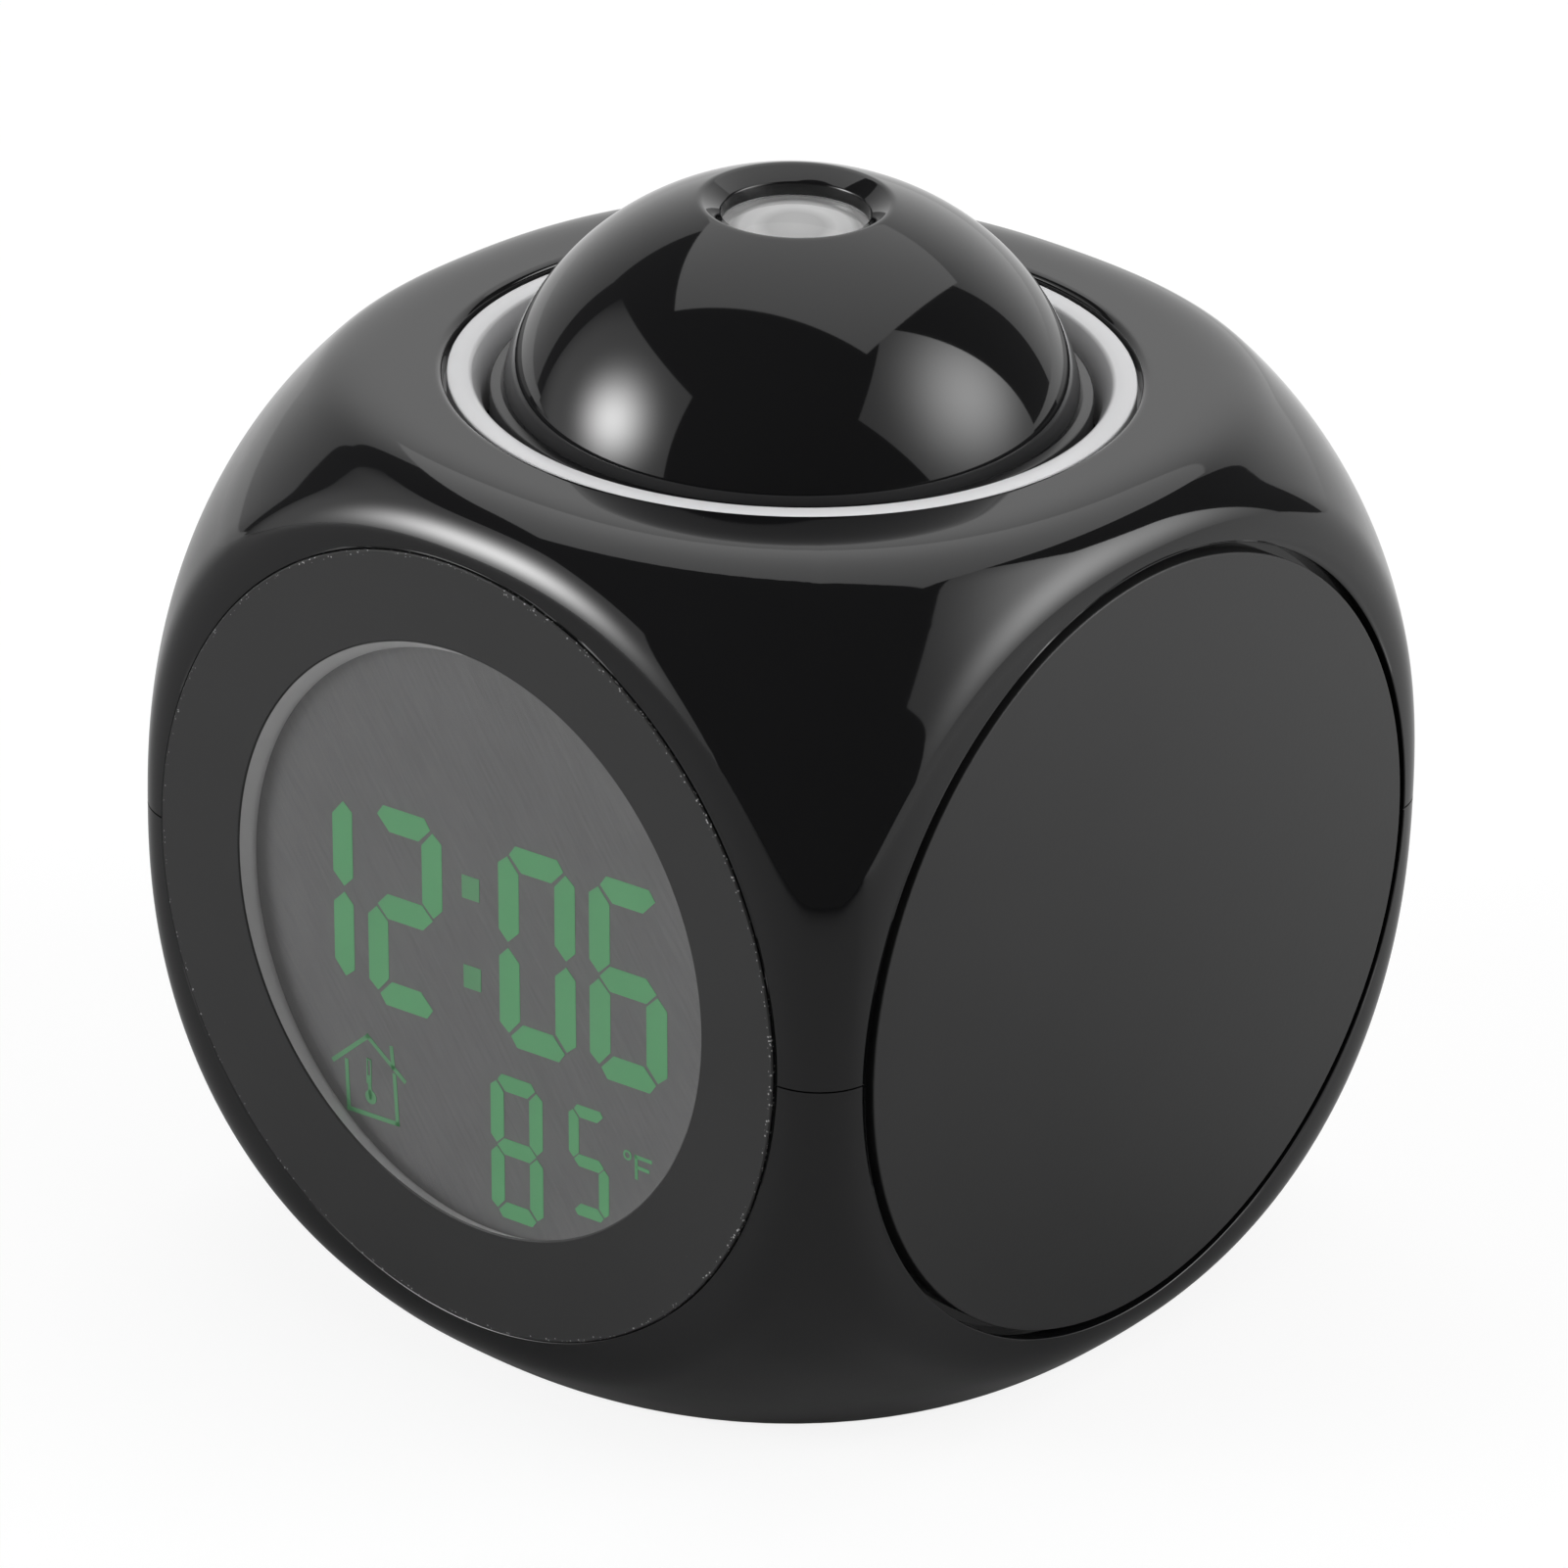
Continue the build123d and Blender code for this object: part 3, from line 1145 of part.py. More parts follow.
# ================================================================ leads and sensor
main_board_back = -HALF_WIDTH + board_end_depth
rear_board_face = HALF_WIDTH - rear_board_end
with BuildPart() as ribbon_cable:
    with BuildSketch(Plane.YZ):
        with BuildLine():
            start = main_board_back + SOCKET_SIZE
            end = rear_board_face - SOCKET_SIZE
            under = PARTING_HEIGHT + RIBBON_ROW
            over = under + RIBBON_THICKNESS
            low = ThreePointArc((start, under), (0, under - RIBBON_SAG), (end, under))
            high = ThreePointArc((start, over), (0, over - RIBBON_SAG), (end, over))
            Line(low @ 0, high @ 0)
            Line(low @ 1, high @ 1)
        make_face()
    extrude(amount=RIBBON_WIDTH / 2, both=True)
finish(ribbon_cable.part, "ribbon_cable")

with BuildPart() as deck_cable:
    with BuildSketch(Plane.YZ):
        with BuildLine():
            foot = (main_board_back + SOCKET_SIZE, PARTING_HEIGHT + DECK_LEAD_ROW)
            head = (-SPRING_PLACE, deck_bottom - CORE_CLEARANCE)
            back_foot = (foot[0], foot[1] + RIBBON_THICKNESS)
            back_head = (head[0] - RIBBON_THICKNESS, head[1])
            bend = DECK_LEAD_BEND * dist(foot, head)
            low = RadiusArc(foot, head, -bend)
            high = RadiusArc(back_foot, back_head, -bend)
            Line(foot, back_foot)
            Line(head, back_head)
        make_face()
    extrude(amount=DECK_LEAD_WIDTH / 2, both=True)
finish(deck_cable.part, "deck_cable")

with BuildPart() as temperature_sensor:
    with BuildSketch(inside(FRONT, board_end_depth)):
        with Locations(SENSOR_PLACE):
            Circle(SENSOR_RADIUS)
    extrude(amount=-SENSOR_HEIGHT)
finish(temperature_sensor.part, "temperature_sensor")
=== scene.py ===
# %% [markdown]
# # A projection alarm clock, dressed for a picture
# The clock is a glossy black rounded cube. A round display fills its front, plain satin discs fill
# its sides, and a glossy dome with a small projection lens sits in a white ring on top. The solid
# parts come from the CAD model as a fixed frame. This lesson adds the camera, the studio and the
# finishes, and builds the pieces whose looks need more than the CAD solids give.

# %% Load the frame
import json
import math
import bpy
import bmesh
from mathutils import Matrix, Vector


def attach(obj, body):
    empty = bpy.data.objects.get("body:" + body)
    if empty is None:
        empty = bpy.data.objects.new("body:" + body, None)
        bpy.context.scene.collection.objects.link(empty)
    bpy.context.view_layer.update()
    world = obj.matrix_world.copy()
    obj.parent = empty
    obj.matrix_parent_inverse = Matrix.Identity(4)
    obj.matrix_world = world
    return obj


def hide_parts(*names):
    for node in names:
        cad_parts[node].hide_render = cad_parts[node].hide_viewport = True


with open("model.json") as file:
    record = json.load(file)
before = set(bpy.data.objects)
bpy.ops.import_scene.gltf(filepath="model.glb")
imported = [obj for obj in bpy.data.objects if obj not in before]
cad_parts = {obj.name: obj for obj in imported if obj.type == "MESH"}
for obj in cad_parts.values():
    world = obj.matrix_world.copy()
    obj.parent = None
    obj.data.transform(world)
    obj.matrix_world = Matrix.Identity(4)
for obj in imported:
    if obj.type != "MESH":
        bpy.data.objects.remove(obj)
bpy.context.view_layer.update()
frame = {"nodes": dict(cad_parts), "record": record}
MM, METRE = 0.001, 1000  # a millimetre in metres, and a metre in millimetres
MIDDLE = 45.0  # height of the clock's middle, in millimetres

# %% [markdown]
# Shader sums read best as sums. A small class wraps a socket and overloads the operators, so that
# `1 - mask` or `noise * 0.2` adds the Math nodes by itself. One method makes any other node.

# %% A class that writes shader maths


class Sock:
    """A shader socket that can be added, scaled and compared like a number."""

    def __init__(self, tree, socket):
        self.tree, self.socket = tree, socket

    def math(self, operation, *others):
        node = self.tree.nodes.new("ShaderNodeMath")
        node.operation = operation
        for slot_in, value in zip(node.inputs, (self, *others)):
            join(self.tree, slot_in, value)
        return Sock(self.tree, node.outputs[0])

    def __add__(self, other):
        return self.math("ADD", other)

    def __sub__(self, other):
        return self.math("SUBTRACT", other)

    def __mul__(self, other):
        return self.math("MULTIPLY", other)

    def __truediv__(self, other):
        return self.math("DIVIDE", other)

    def __radd__(self, other):
        return self + other

    def __rmul__(self, other):
        return self * other

    def __rsub__(self, other):
        return self * -1.0 + other

    def over(self, edge):
        return self.math("GREATER_THAN", edge)


def join(tree, slot_in, value):
    """Links a socket, or sets a plain value."""
    if isinstance(value, Sock):
        tree.links.new(value.socket, slot_in)
    else:
        slot_in.default_value = value


class Shader:
    """Adds nodes to one node tree."""

    def __init__(self, tree):
        self.tree = tree
        tree.nodes.clear()

    def add(self, kind, outlet=0, settings=None, stops=None, **links):
        """One node: its settings and ramp stops first, then its sockets by name or _number."""
        node = self.tree.nodes.new("ShaderNode" + kind)
        for key, value in (settings or {}).items():
            setattr(node, key, value)
        if stops:
            ramp = node.color_ramp
            while len(ramp.elements) < len(stops):
                ramp.elements.new(0.5)
            for element, (place, colour) in zip(ramp.elements, stops):
                element.position, element.color = place, grey(colour)
        for key, value in links.items():
            socket = int(key[1:]) if key[1:].isdigit() else key.replace("_", " ")
            join(self.tree, node.inputs[socket], value)
        return Sock(self.tree, node.outputs[outlet]) if len(node.outputs) else node


def grey(value):
    """A number becomes a grey, and three numbers a colour, with full alpha."""
    return (*value, 1.0) if hasattr(value, "__len__") else (value, value, value, 1.0)


print("shader class ready")

# %% [markdown]
# The camera and the lamps are placed the same way: by a turn and a rise about the clock's middle, and
# a distance. A constraint could aim them, but then nothing in the script says where they look, so a
# few lines of vector maths give each its place and its three axes.

# %% Places round the clock
AIM = Vector((0, 0, MIDDLE * MM))


def direction(turn, rise):
    """A unit vector: turn in degrees from the front towards the right, rise above the table."""
    turn, rise = math.radians(turn), math.radians(rise)
    return Vector((math.sin(turn) * math.cos(rise), -math.cos(turn) * math.cos(rise), math.sin(rise)))


def axes_across(away):
    """The level direction and the upward one at right angles to a direction."""
    level = Vector((0, 0, 1)).cross(away).normalized()
    return level, away.cross(level)


def placed(distance, across, up, away):
    """The matrix that stands a thing at a distance from the aim, with its axes along three directions."""
    return Matrix.Translation(AIM + away * distance) @ Matrix((across, up, away)).transposed().to_4x4()


print("aim at", list(AIM))

# %% [markdown]
# The camera stands between the clock's front and its right side, and looks down at it from about a
# metre with a long lens, as a product photographer would to keep the cube's sides nearly parallel.

# %% Camera
VIEW_TURN, VIEW_RISE, VIEW_ROLL = 41.12, 26.27, math.radians(1.306)
VIEW_DISTANCE, FAR_CLIP = 0.94388, 50
LENS, SENSOR = 226.75, 36.0
SHIFT = (0.000912, 0.00713)

towards = direction(VIEW_TURN, VIEW_RISE)
level, upright = axes_across(towards)
camera_x = level * math.cos(VIEW_ROLL) + upright * math.sin(VIEW_ROLL)
camera_y = upright * math.cos(VIEW_ROLL) - level * math.sin(VIEW_ROLL)

camera_data = bpy.data.cameras.new("camera")
camera_data.lens, camera_data.sensor_width = LENS, SENSOR
camera_data.shift_x, camera_data.shift_y = SHIFT
camera_data.clip_end = FAR_CLIP
camera = bpy.data.objects.new("camera", camera_data)
camera.matrix_world = placed(VIEW_DISTANCE, camera_x, camera_y, towards)
bpy.context.scene.collection.objects.link(camera)
bpy.context.scene.camera = camera
bpy.context.scene.view_settings.view_transform = "Standard"
print("camera at", [round(c, 3) for c in camera.location])

# %% [markdown]
# The background is white to the camera only. To every other ray the room is nearly dark, so that
# the black gloss shows the lamps alone. Glass that is looked through shows the white as well.

# %% World
WHITE_SEEN = 1.0
ROOM_GLOW = 0.09


def seen_directly(shader):
    """1 where the camera sees a surface straight or through glass, 0 for light and reflections."""
    straight = shader.add("LightPath", outlet="Is Camera Ray")
    through = shader.add("LightPath", outlet="Is Transmission Ray")
    return (straight + through).math("MINIMUM", 1.0)


world = bpy.data.worlds.new("studio")
bpy.context.scene.world = world
world.use_nodes = True
sky = Shader(world.node_tree)
room = sky.add("Background", Color=grey(1.0), Strength=ROOM_GLOW)
bright = sky.add("Background", Color=grey(1.0), Strength=WHITE_SEEN)
sky.add("OutputWorld", Surface=sky.add("MixShader", _0=seen_directly(sky), _1=room, _2=bright))
print("world ready")

# %% [markdown]
# Black gloss shows its surroundings more than itself, so the studio is what gives the form. A softbox
# with a round bright spot stands at the front left, a tall one at the right, a white backdrop behind
# and a diffuser overhead, and the camera's side is dark. Each is a plane with four corners that
# glows, brightest at one spot, unseen by the camera. Area lamps would do too, but they can't fade
# towards their edges, and the edges are what shows on a glossy dome.

# %% Softboxes: helpers


def new_finish(name):
    """An empty material with the class that fills it."""
    material = bpy.data.materials.new(name)
    material.use_nodes = True
    shader = Shader(material.node_tree)
    shader.material = material
    return shader


def staged(name, bm, material):
    """Makes a bmesh an object in the scene, with one material."""
    mesh = bpy.data.meshes.new(name)
    bm.to_mesh(mesh)
    bm.free()
    mesh.materials.append(material)
    thing = bpy.data.objects.new(name, mesh)
    bpy.context.scene.collection.objects.link(thing)
    return thing


def glow_finish(name, distance, strength, edge, core, bright, reach, soft):
    """Light that falls from its strength at a bright spot to its edge, and fades out at its reach."""
    glow = new_finish(name)
    place = glow.add("TexCoord", outlet="Object")
    x = glow.add("SeparateXYZ", outlet="X", _0=place) / distance - bright[0]
    y = glow.add("SeparateXYZ", outlet="Y", _0=place) / distance - bright[1]
    spread = x * x + y * y
    level_here = (spread * -core).math("EXPONENT") * (strength - edge) + edge
    fade = ((reach - spread.math("SQRT")) / soft).math("MAXIMUM", 0.0).math("MINIMUM", 1.0)
    smooth = fade * fade * (3 - fade * 2)
    lit = glow.add("Emission", Color=grey(1.0), Strength=level_here * smooth)
    glow.add("OutputMaterial", Surface=lit)
    return glow.material


def softbox(name, turn, rise, distance, corners, strength, edge, core, bright=(0, 0), reach=9.0,
            soft=0.1):
    """A glowing plane across one direction, with corners (across, up) in shares of its distance."""
    bm = bmesh.new()
    bm.faces.new([bm.verts.new((x * distance, y * distance, 0)) for x, y in corners])
    box = staged(name, bm, glow_finish(name, distance, strength, edge, core, bright, reach, soft))
    away = direction(turn, rise)
    box.matrix_world = placed(distance, *axes_across(away), away)
    box.visible_camera = box.visible_transmission = box.visible_shadow = False
    return box


print("softbox helpers ready")

# %% [markdown]
# The lamps are quadrilaterals and not rectangles, because real softboxes stand at a slant to the
# clock. Their outlines on the dome are what a viewer sees, so each corner was placed by where its
# reflection falls there.

# %% Softboxes
lamps = [
    softbox("round_softbox", -36, 17, 2.0, [(-0.9, -0.6), (0.62, -0.6), (0.42, 0.5), (-0.8, 0.52)],
            strength=16, edge=0.8, core=19, reach=1.1, soft=0.55),
    softbox("tall_softbox", 121, 24, 2.0, [(-0.25, -0.96), (0.68, -0.6), (0.02, 0.79), (-0.82, 0.46)],
            strength=6.2, edge=0.65, core=7, bright=(0.05, 0.05)),
    softbox("backdrop", -138, 10, 2.4, [(-1.5, -0.6), (1.9, -0.6), (0.95, 0.55), (-0.95, 1.05)],
            strength=1.12, edge=0.45, core=1.2, bright=(-0.3, 0.05)),
    softbox("overhead", -150, 66, 1.8, [(0.79, 0.43), (-0.65, 0.75), (-0.62, -0.47), (0.42, -0.58)],
            strength=1.5, edge=0.9, core=0.8),
]
print("lamps:", [lamp.name for lamp in lamps])

# %% [markdown]
# The table is pale. The camera sees it as white with the clock's soft shadow kept. The clock's own
# reflections see it bright behind the clock, under the backdrop, and falling off towards the camera,
# as a sheet of paper does that runs away into a dim room. It lies a hair below the clock's base, so
# that the two flat faces don't flicker into each other.

# %% Table
TABLE_RADIUS, TABLE_POINTS = 6.0, 96
TABLE_DROP = 0.00005
TABLE_COLOUR = 0.38
TABLE_SEEN = 1.0
SHADOW_SHARE = 0.13
PAPER_NEAR, PAPER_FAR, PAPER_GLOW = 0.03, 0.26, 0.85
PAPER_BEHIND, PAPER_BESIDE = 0.9, 0.35


def table_finish():
    """White to the camera with a shadow, and paper that fades towards the camera to reflections."""
    top = new_finish("pale_table")
    matt = top.add("BsdfDiffuse", Color=grey(TABLE_COLOUR))
    shaded = top.add("BsdfDiffuse", Color=grey(1.0))
    bright = top.add("Emission", Color=grey(1.0), Strength=TABLE_SEEN)
    soft = top.add("MixShader", _0=SHADOW_SHARE, _1=bright, _2=shaded)
    place = top.add("TexCoord", outlet="Object")
    x = top.add("SeparateXYZ", outlet="X", _0=place)
    y = top.add("SeparateXYZ", outlet="Y", _0=place)
    behind = y * PAPER_BEHIND + x.math("ABSOLUTE") * PAPER_BESIDE
    rise = (behind - PAPER_NEAR) / (PAPER_FAR - PAPER_NEAR)
    rise = rise.math("MAXIMUM", 0.0).math("MINIMUM", 1.0)
    glossy = top.add("LightPath", outlet="Is Glossy Ray")
    paper = top.add("Emission", Color=grey(1.0), Strength=PAPER_GLOW)
    seen = top.add("MixShader", _0=glossy * rise, _1=matt, _2=paper)
    top.add("OutputMaterial", Surface=top.add("MixShader", _0=seen_directly(top), _1=seen, _2=soft))
    return top.material


table_mesh = bmesh.new()
bmesh.ops.create_circle(table_mesh, cap_ends=True, segments=TABLE_POINTS, radius=TABLE_RADIUS)
bmesh.ops.translate(table_mesh, vec=(0, 0, -TABLE_DROP), verts=table_mesh.verts)
staged("table", table_mesh, table_finish())
print("table radius", TABLE_RADIUS, "m")

# %% [markdown]
# Every moulded or painted surface gets its own finish. Polished plastic has an even dark body, a
# very faint waviness from the mould and a few specks of dust. Satin plastic has a fine grain that
# scatters the light, and slight clouds where it has been handled. All of it is worked out from the
# object's own coordinates, so the pattern stays with the part.

# %% Finishes: helpers
DUST_GREY, DUST_SIZE, DUST_MATT = 0.35, 420.0, 0.5
SEAM_DUST_SIZE, SEAM_DUST_SHARE = 2600.0, 0.42


def dimmed(colour, share):
    """A share of a colour."""
    return grey([c * share for c in colour])


def surface(shader, **sockets):
    """Ends a material in one Principled shader."""
    shader.add("OutputMaterial", Surface=shader.add("BsdfPrincipled", **sockets))
    return shader.material


def dust(shader, place, scale, share):
    """1 on small specks, which are denser where a slow noise is high."""
    cells = shader.add("TexVoronoi", Vector=place, Scale=scale)
    patches = shader.add("TexNoise", Vector=place, Scale=90.0, Detail=2.0)
    return 1 - cells.over(share * patches)


def seam_mask(shader, place, low, high):
    """1 between two distances, in millimetres, from the axis of the front disc."""
    x = shader.add("SeparateXYZ", outlet="X", _0=place) * METRE
    z = shader.add("SeparateXYZ", outlet="Z", _0=place) * METRE - MIDDLE
    out = (x * x + z * z).math("SQRT")
    return out.over(low) - out.over(high)


def moulded(name, colour, roughness, clouds=0.1, grain=0.0, grain_scale=2500.0, waviness=0.0,
            specks=0.0, seam=None, **sockets):
    """Moulded plastic or a plain coat: clouds in its gloss, a grain, a waviness and specks of dust."""
    shader = new_finish(name)
    place = shader.add("TexCoord", outlet="Object")
    cloud = shader.add("TexNoise", Vector=place, Scale=70.0, Detail=4.0, Roughness=0.6)
    fine = shader.add("TexNoise", Vector=place, Scale=grain_scale, Detail=2.0)
    rough = roughness * (1 - clouds) + cloud * (2 * roughness * clouds)
    shade = shader.add("MixRGB", _0=cloud, _1=dimmed(colour, 1 - clouds), _2=dimmed(colour, 1 + clouds))
    if specks:
        speck = dust(shader, place, DUST_SIZE, specks)
        if seam:
            settled = dust(shader, place, SEAM_DUST_SIZE, SEAM_DUST_SHARE)
            speck = speck.math("MAXIMUM", settled * seam_mask(shader, place, *seam))
        shade = shader.add("MixRGB", _0=speck, _1=shade, _2=grey(DUST_GREY))
        rough = rough + speck * DUST_MATT
    wave = shader.add("TexNoise", Vector=place, Scale=55.0, Detail=1.0)
    height = fine * grain + wave * waviness
    relief = shader.add("Bump", Strength=1.0, Distance=MM, Height=height)
    return surface(shader, Base_Color=shade, Roughness=rough, Normal=relief, **sockets)


def metal(name, colour, roughness):
    """Plated or turned metal with fine circular tool marks about the upright axis."""
    shader = new_finish(name)
    place = shader.add("TexCoord", outlet="Object")
    rings = shader.add("TexWave", settings={"wave_type": "RINGS", "rings_direction": "Z"},
                       Vector=place, Scale=900.0, Distortion=1.5)
    worn = shader.add("TexNoise", Vector=place, Scale=160.0, Detail=3.0)
    relief = shader.add("Bump", Strength=1.0, Distance=MM, Height=rings * 0.002)
    shade = shader.add("MixRGB", _0=worn, _1=dimmed(colour, 0.85), _2=grey(colour))
    return surface(shader, Base_Color=shade, Roughness=roughness * 0.8 + worn * roughness * 0.4,
                   Normal=relief, Metallic=1.0)


def clear_finish(name, roughness, ior, tint):
    """Clear acrylic that is looked through: gloss by Fresnel over a straight view."""
    shader = new_finish(name)
    place = shader.add("TexCoord", outlet="Object")
    smear = shader.add("TexNoise", Vector=place, Scale=60.0, Detail=3.0)
    gloss = shader.add("BsdfGlossy", Color=grey(1.0), Roughness=roughness + smear * roughness)
    through = shader.add("BsdfTransparent", Color=grey(tint))
    share = shader.add("Fresnel", IOR=ior)
    shader.add("OutputMaterial", Surface=shader.add("MixShader", _0=share, _1=through, _2=gloss))
    return shader.material


print("finish helpers ready")

# %% [markdown]
# The record names a finish for each piece, and every name gets a material here. The glossy black of
# the housing is darker than the satin black of the discs, because a gloss sends the room's light off
# in one direction, while a satin surface spreads it and so looks greyer.

# %% Finishes: one for each slot of the record
BLACK, SATIN = (0.0046, 0.0046, 0.0050), (0.0158, 0.0158, 0.0161)
BEZEL_SEAM = (38.35, 38.9)  # where dust settles, in millimetres from the disc's axis
finishes = {
    "gloss_black": moulded("gloss_black", BLACK, 0.045, clouds=0.15, waviness=0.004, specks=0.012),
    "bezel_black": moulded("bezel_black", SATIN, 0.42, grain=0.004, specks=0.02, seam=BEZEL_SEAM),
    "satin_black": moulded("satin_black", SATIN, 0.40, clouds=0.16, grain=0.006, specks=0.008),
    "window_clear": clear_finish("window_clear", 0.02, 1.12, 0.99),
    "diffuser_white": moulded("diffuser_white", (0.80, 0.80, 0.78), 0.5),
    "inner_black": moulded("inner_black", (0.012, 0.012, 0.012), 0.5, grain=0.006),
    "strip_rubber": moulded("strip_rubber", (0.60, 0.60, 0.62), 0.6),
    "board_green": moulded("board_green", (0.010, 0.085, 0.030), 0.35, clouds=0.2, grain=0.003),
    "switch_steel": metal("switch_steel", (0.58, 0.58, 0.58), 0.3),
    "key_black": moulded("key_black", BLACK, 0.12, clouds=0.1, waviness=0.002),
    "speaker_steel": metal("speaker_steel", (0.30, 0.30, 0.31), 0.4),
    "cone_paper": moulded("cone_paper", (0.025, 0.025, 0.025), 0.85, clouds=0.3, grain=0.02,
                          grain_scale=1500.0),
    "cell_wrap": moulded("cell_wrap", (0.13, 0.14, 0.16), 0.28, clouds=0.08),
    "contact_nickel": metal("contact_nickel", (0.66, 0.62, 0.56), 0.25),
    "ring_white": moulded("ring_white", (0.70, 0.70, 0.71), 0.28, clouds=0.04, grain=0.001, specks=0.004),
    "retainer_grey": metal("retainer_grey", (0.55, 0.55, 0.56), 0.3),
    "screw_zinc": metal("screw_zinc", (0.55, 0.55, 0.53), 0.35),
    "cable_grey": moulded("cable_grey", (0.45, 0.45, 0.46), 0.5, grain=0.004),
    "sensor_epoxy": moulded("sensor_epoxy", (0.012, 0.012, 0.012), 0.3),
}
print("finishes:", len(finishes))

# %% [markdown]
# The display is a grey polariser with very fine slanting scratches and a faint glow, painted light
# that lifts the shade the opening's wall casts on it. The marks on it are a soft green that isn't
# quite even. The lens is thick clear glass, so it has a real refracting finish, and the seat below it
# has pale and grey rings: painted reflections of the lamps in the lens.

# %% Finishes: display and lens
SCRATCH_TURN = math.radians(52)
MARK_BODY, MARK_GLOW = 0.62, 0.36
LENS_RADIUS = 6.92


def display_finish():
    """Grey and scratched, with a faint glow that is painted light lifting the wall's shade."""
    shader = new_finish("display_grey")
    place = shader.add("TexCoord", outlet="Object")
    slanted = shader.add("Mapping", settings={"vector_type": "TEXTURE"}, Vector=place,
                         Rotation=(0.0, SCRATCH_TURN, 0.0), Scale=(0.006, 0.006, 0.0004))
    scratches = shader.add("TexNoise", Vector=slanted, Scale=1.0, Detail=3.0, Roughness=0.7)
    patches = shader.add("TexNoise", Vector=place, Scale=140.0, Detail=3.0)
    mark = scratches * 0.7 + patches * 0.3
    shade = shader.add("ValToRGB", Fac=mark, stops=[(0.25, 0.052), (0.75, 0.084)])
    speck = dust(shader, place, 500.0, 0.016)
    shade = shader.add("MixRGB", _0=speck, _1=shade, _2=grey(0.3))
    # Painted light: the glow lifts the shade that the opening's wall casts on the display.
    glow = shader.add("MixRGB", _0=mark, _1=grey(0.034), _2=grey(0.048))
    return surface(shader, Base_Color=shade, Roughness=0.42 + scratches * 0.1, Emission_Color=glow,
                   Emission_Strength=1.0)


def mark_finish(name, low, high):
    """A colour between two, with a glow: backlight, and painted light that lifts the wall's shade."""
    shader = new_finish(name)
    place = shader.add("TexCoord", outlet="Object")
    patches = shader.add("TexNoise", Vector=place, Scale=160.0, Detail=3.0)
    shade = shader.add("MixRGB", _0=patches, _1=dimmed(low, MARK_BODY), _2=dimmed(high, MARK_BODY))
    # The glow is partly the display's backlight and partly painted light that lifts the wall's shade.
    glow = shader.add("MixRGB", _0=patches, _1=dimmed(low, MARK_GLOW), _2=dimmed(high, MARK_GLOW))
    return surface(shader, Base_Color=shade, Roughness=0.5, Emission_Color=glow, Emission_Strength=1.0)


def lens_finish():
    """Clear glass with a slight smear on it."""
    shader = new_finish("lens_clear")
    place = shader.add("TexCoord", outlet="Object")
    smear = shader.add("TexNoise", Vector=place, Scale=220.0, Detail=3.0)
    return surface(shader, Base_Color=grey(0.97), Roughness=smear * 0.03, IOR=1.49,
                   Transmission_Weight=1.0)


def lens_back_finish():
    """The seat under the lens, with pale and grey rings: painted reflections of the lamps in the lens."""
    shader = new_finish("lens_back_painted")
    place = shader.add("TexCoord", outlet="Object")
    x = shader.add("SeparateXYZ", outlet="X", _0=place)
    y = shader.add("SeparateXYZ", outlet="Y", _0=place)
    out = (x * x + y * y).math("SQRT") * (METRE / LENS_RADIUS)
    # Pale and grey rings by distance from the axis: painted reflections, as the lens shows them.
    painted_reflection_bands = [(0.0, 0.72), (0.35, 0.66), (0.52, 0.95), (0.70, 0.95), (0.80, 0.55), (0.93, 0.80)]
    return surface(shader, Base_Color=shader.add("ValToRGB", Fac=out, stops=painted_reflection_bands), Roughness=0.35)


finishes["display_grey"] = display_finish()
finishes["lens_clear"] = lens_finish()
lens_back_painted = lens_back_finish()
mark_green = mark_finish("mark_green", (0.085, 0.275, 0.120), (0.103, 0.303, 0.141))
mark_dim = mark_finish("mark_dim", (0.086, 0.236, 0.113), (0.101, 0.262, 0.131))
# The opening's wall: its pale grey and faint glow are painted light, for the light it catches.
aperture_grey_painted_light = moulded("aperture_grey_painted_light", (0.45, 0.45, 0.45), 0.22, clouds=0.06,
                        Emission_Color=grey(0.055), Emission_Strength=1.0)
collar_black = moulded("collar_black", BLACK, 0.24, clouds=0.1)

for part in frame["record"]["subparts"]:
    thing = frame["nodes"][part["node"]]
    thing.data.materials.clear()
    thing.data.materials.append(finishes[part["material_slot"]])

# %% [markdown]
# Every new piece is modelled in millimetres, as its drawing would be, and brought to metres once at
# the end. Corners sharper than a set angle stay crisp, and all else is shaded smooth.

# %% From a bmesh to a piece
CRISP = math.radians(32)
NEAR = 0.001  # points closer than this, in millimetres, are one


def to_piece(bm, name, slot, body="housing", replaces=None, finish=None, second=None):
    """A mesh in metres, shaded, with its slot's finish or the given one, on its body, hiding what it
    replaces.
    """
    bmesh.ops.scale(bm, vec=(MM, MM, MM), verts=bm.verts)
    for face in bm.faces:
        face.smooth = True
    mesh = bpy.data.meshes.new(name)
    bm.to_mesh(mesh)
    bm.free()
    mesh.set_sharp_from_angle(angle=CRISP)
    mesh.materials.append(finish or finishes[slot])
    if second:
        mesh.materials.append(second)
    piece = bpy.data.objects.new(name, mesh)
    bpy.context.scene.collection.objects.link(piece)
    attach(piece, body)
    if replaces:
        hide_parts(replaces)
    print(name, len(mesh.polygons), "faces")


print("edges above", round(math.degrees(CRISP)), "degrees stay crisp")

# %% [markdown]
# The housing is a rounded cube: a superellipsoid, which lies between a ball and a cube, cut by six
# flats whose rims are rolled over softly. Its gloss would show every facet, so its skin has to follow
# the exact form closely. A subdivided cube would not give true circles where the discs are let in.
# So each side starts as a circle, and rings are extruded from it outwards until they meet the square
# where the next side begins. The form says how far from the centre the skin lies in any direction.

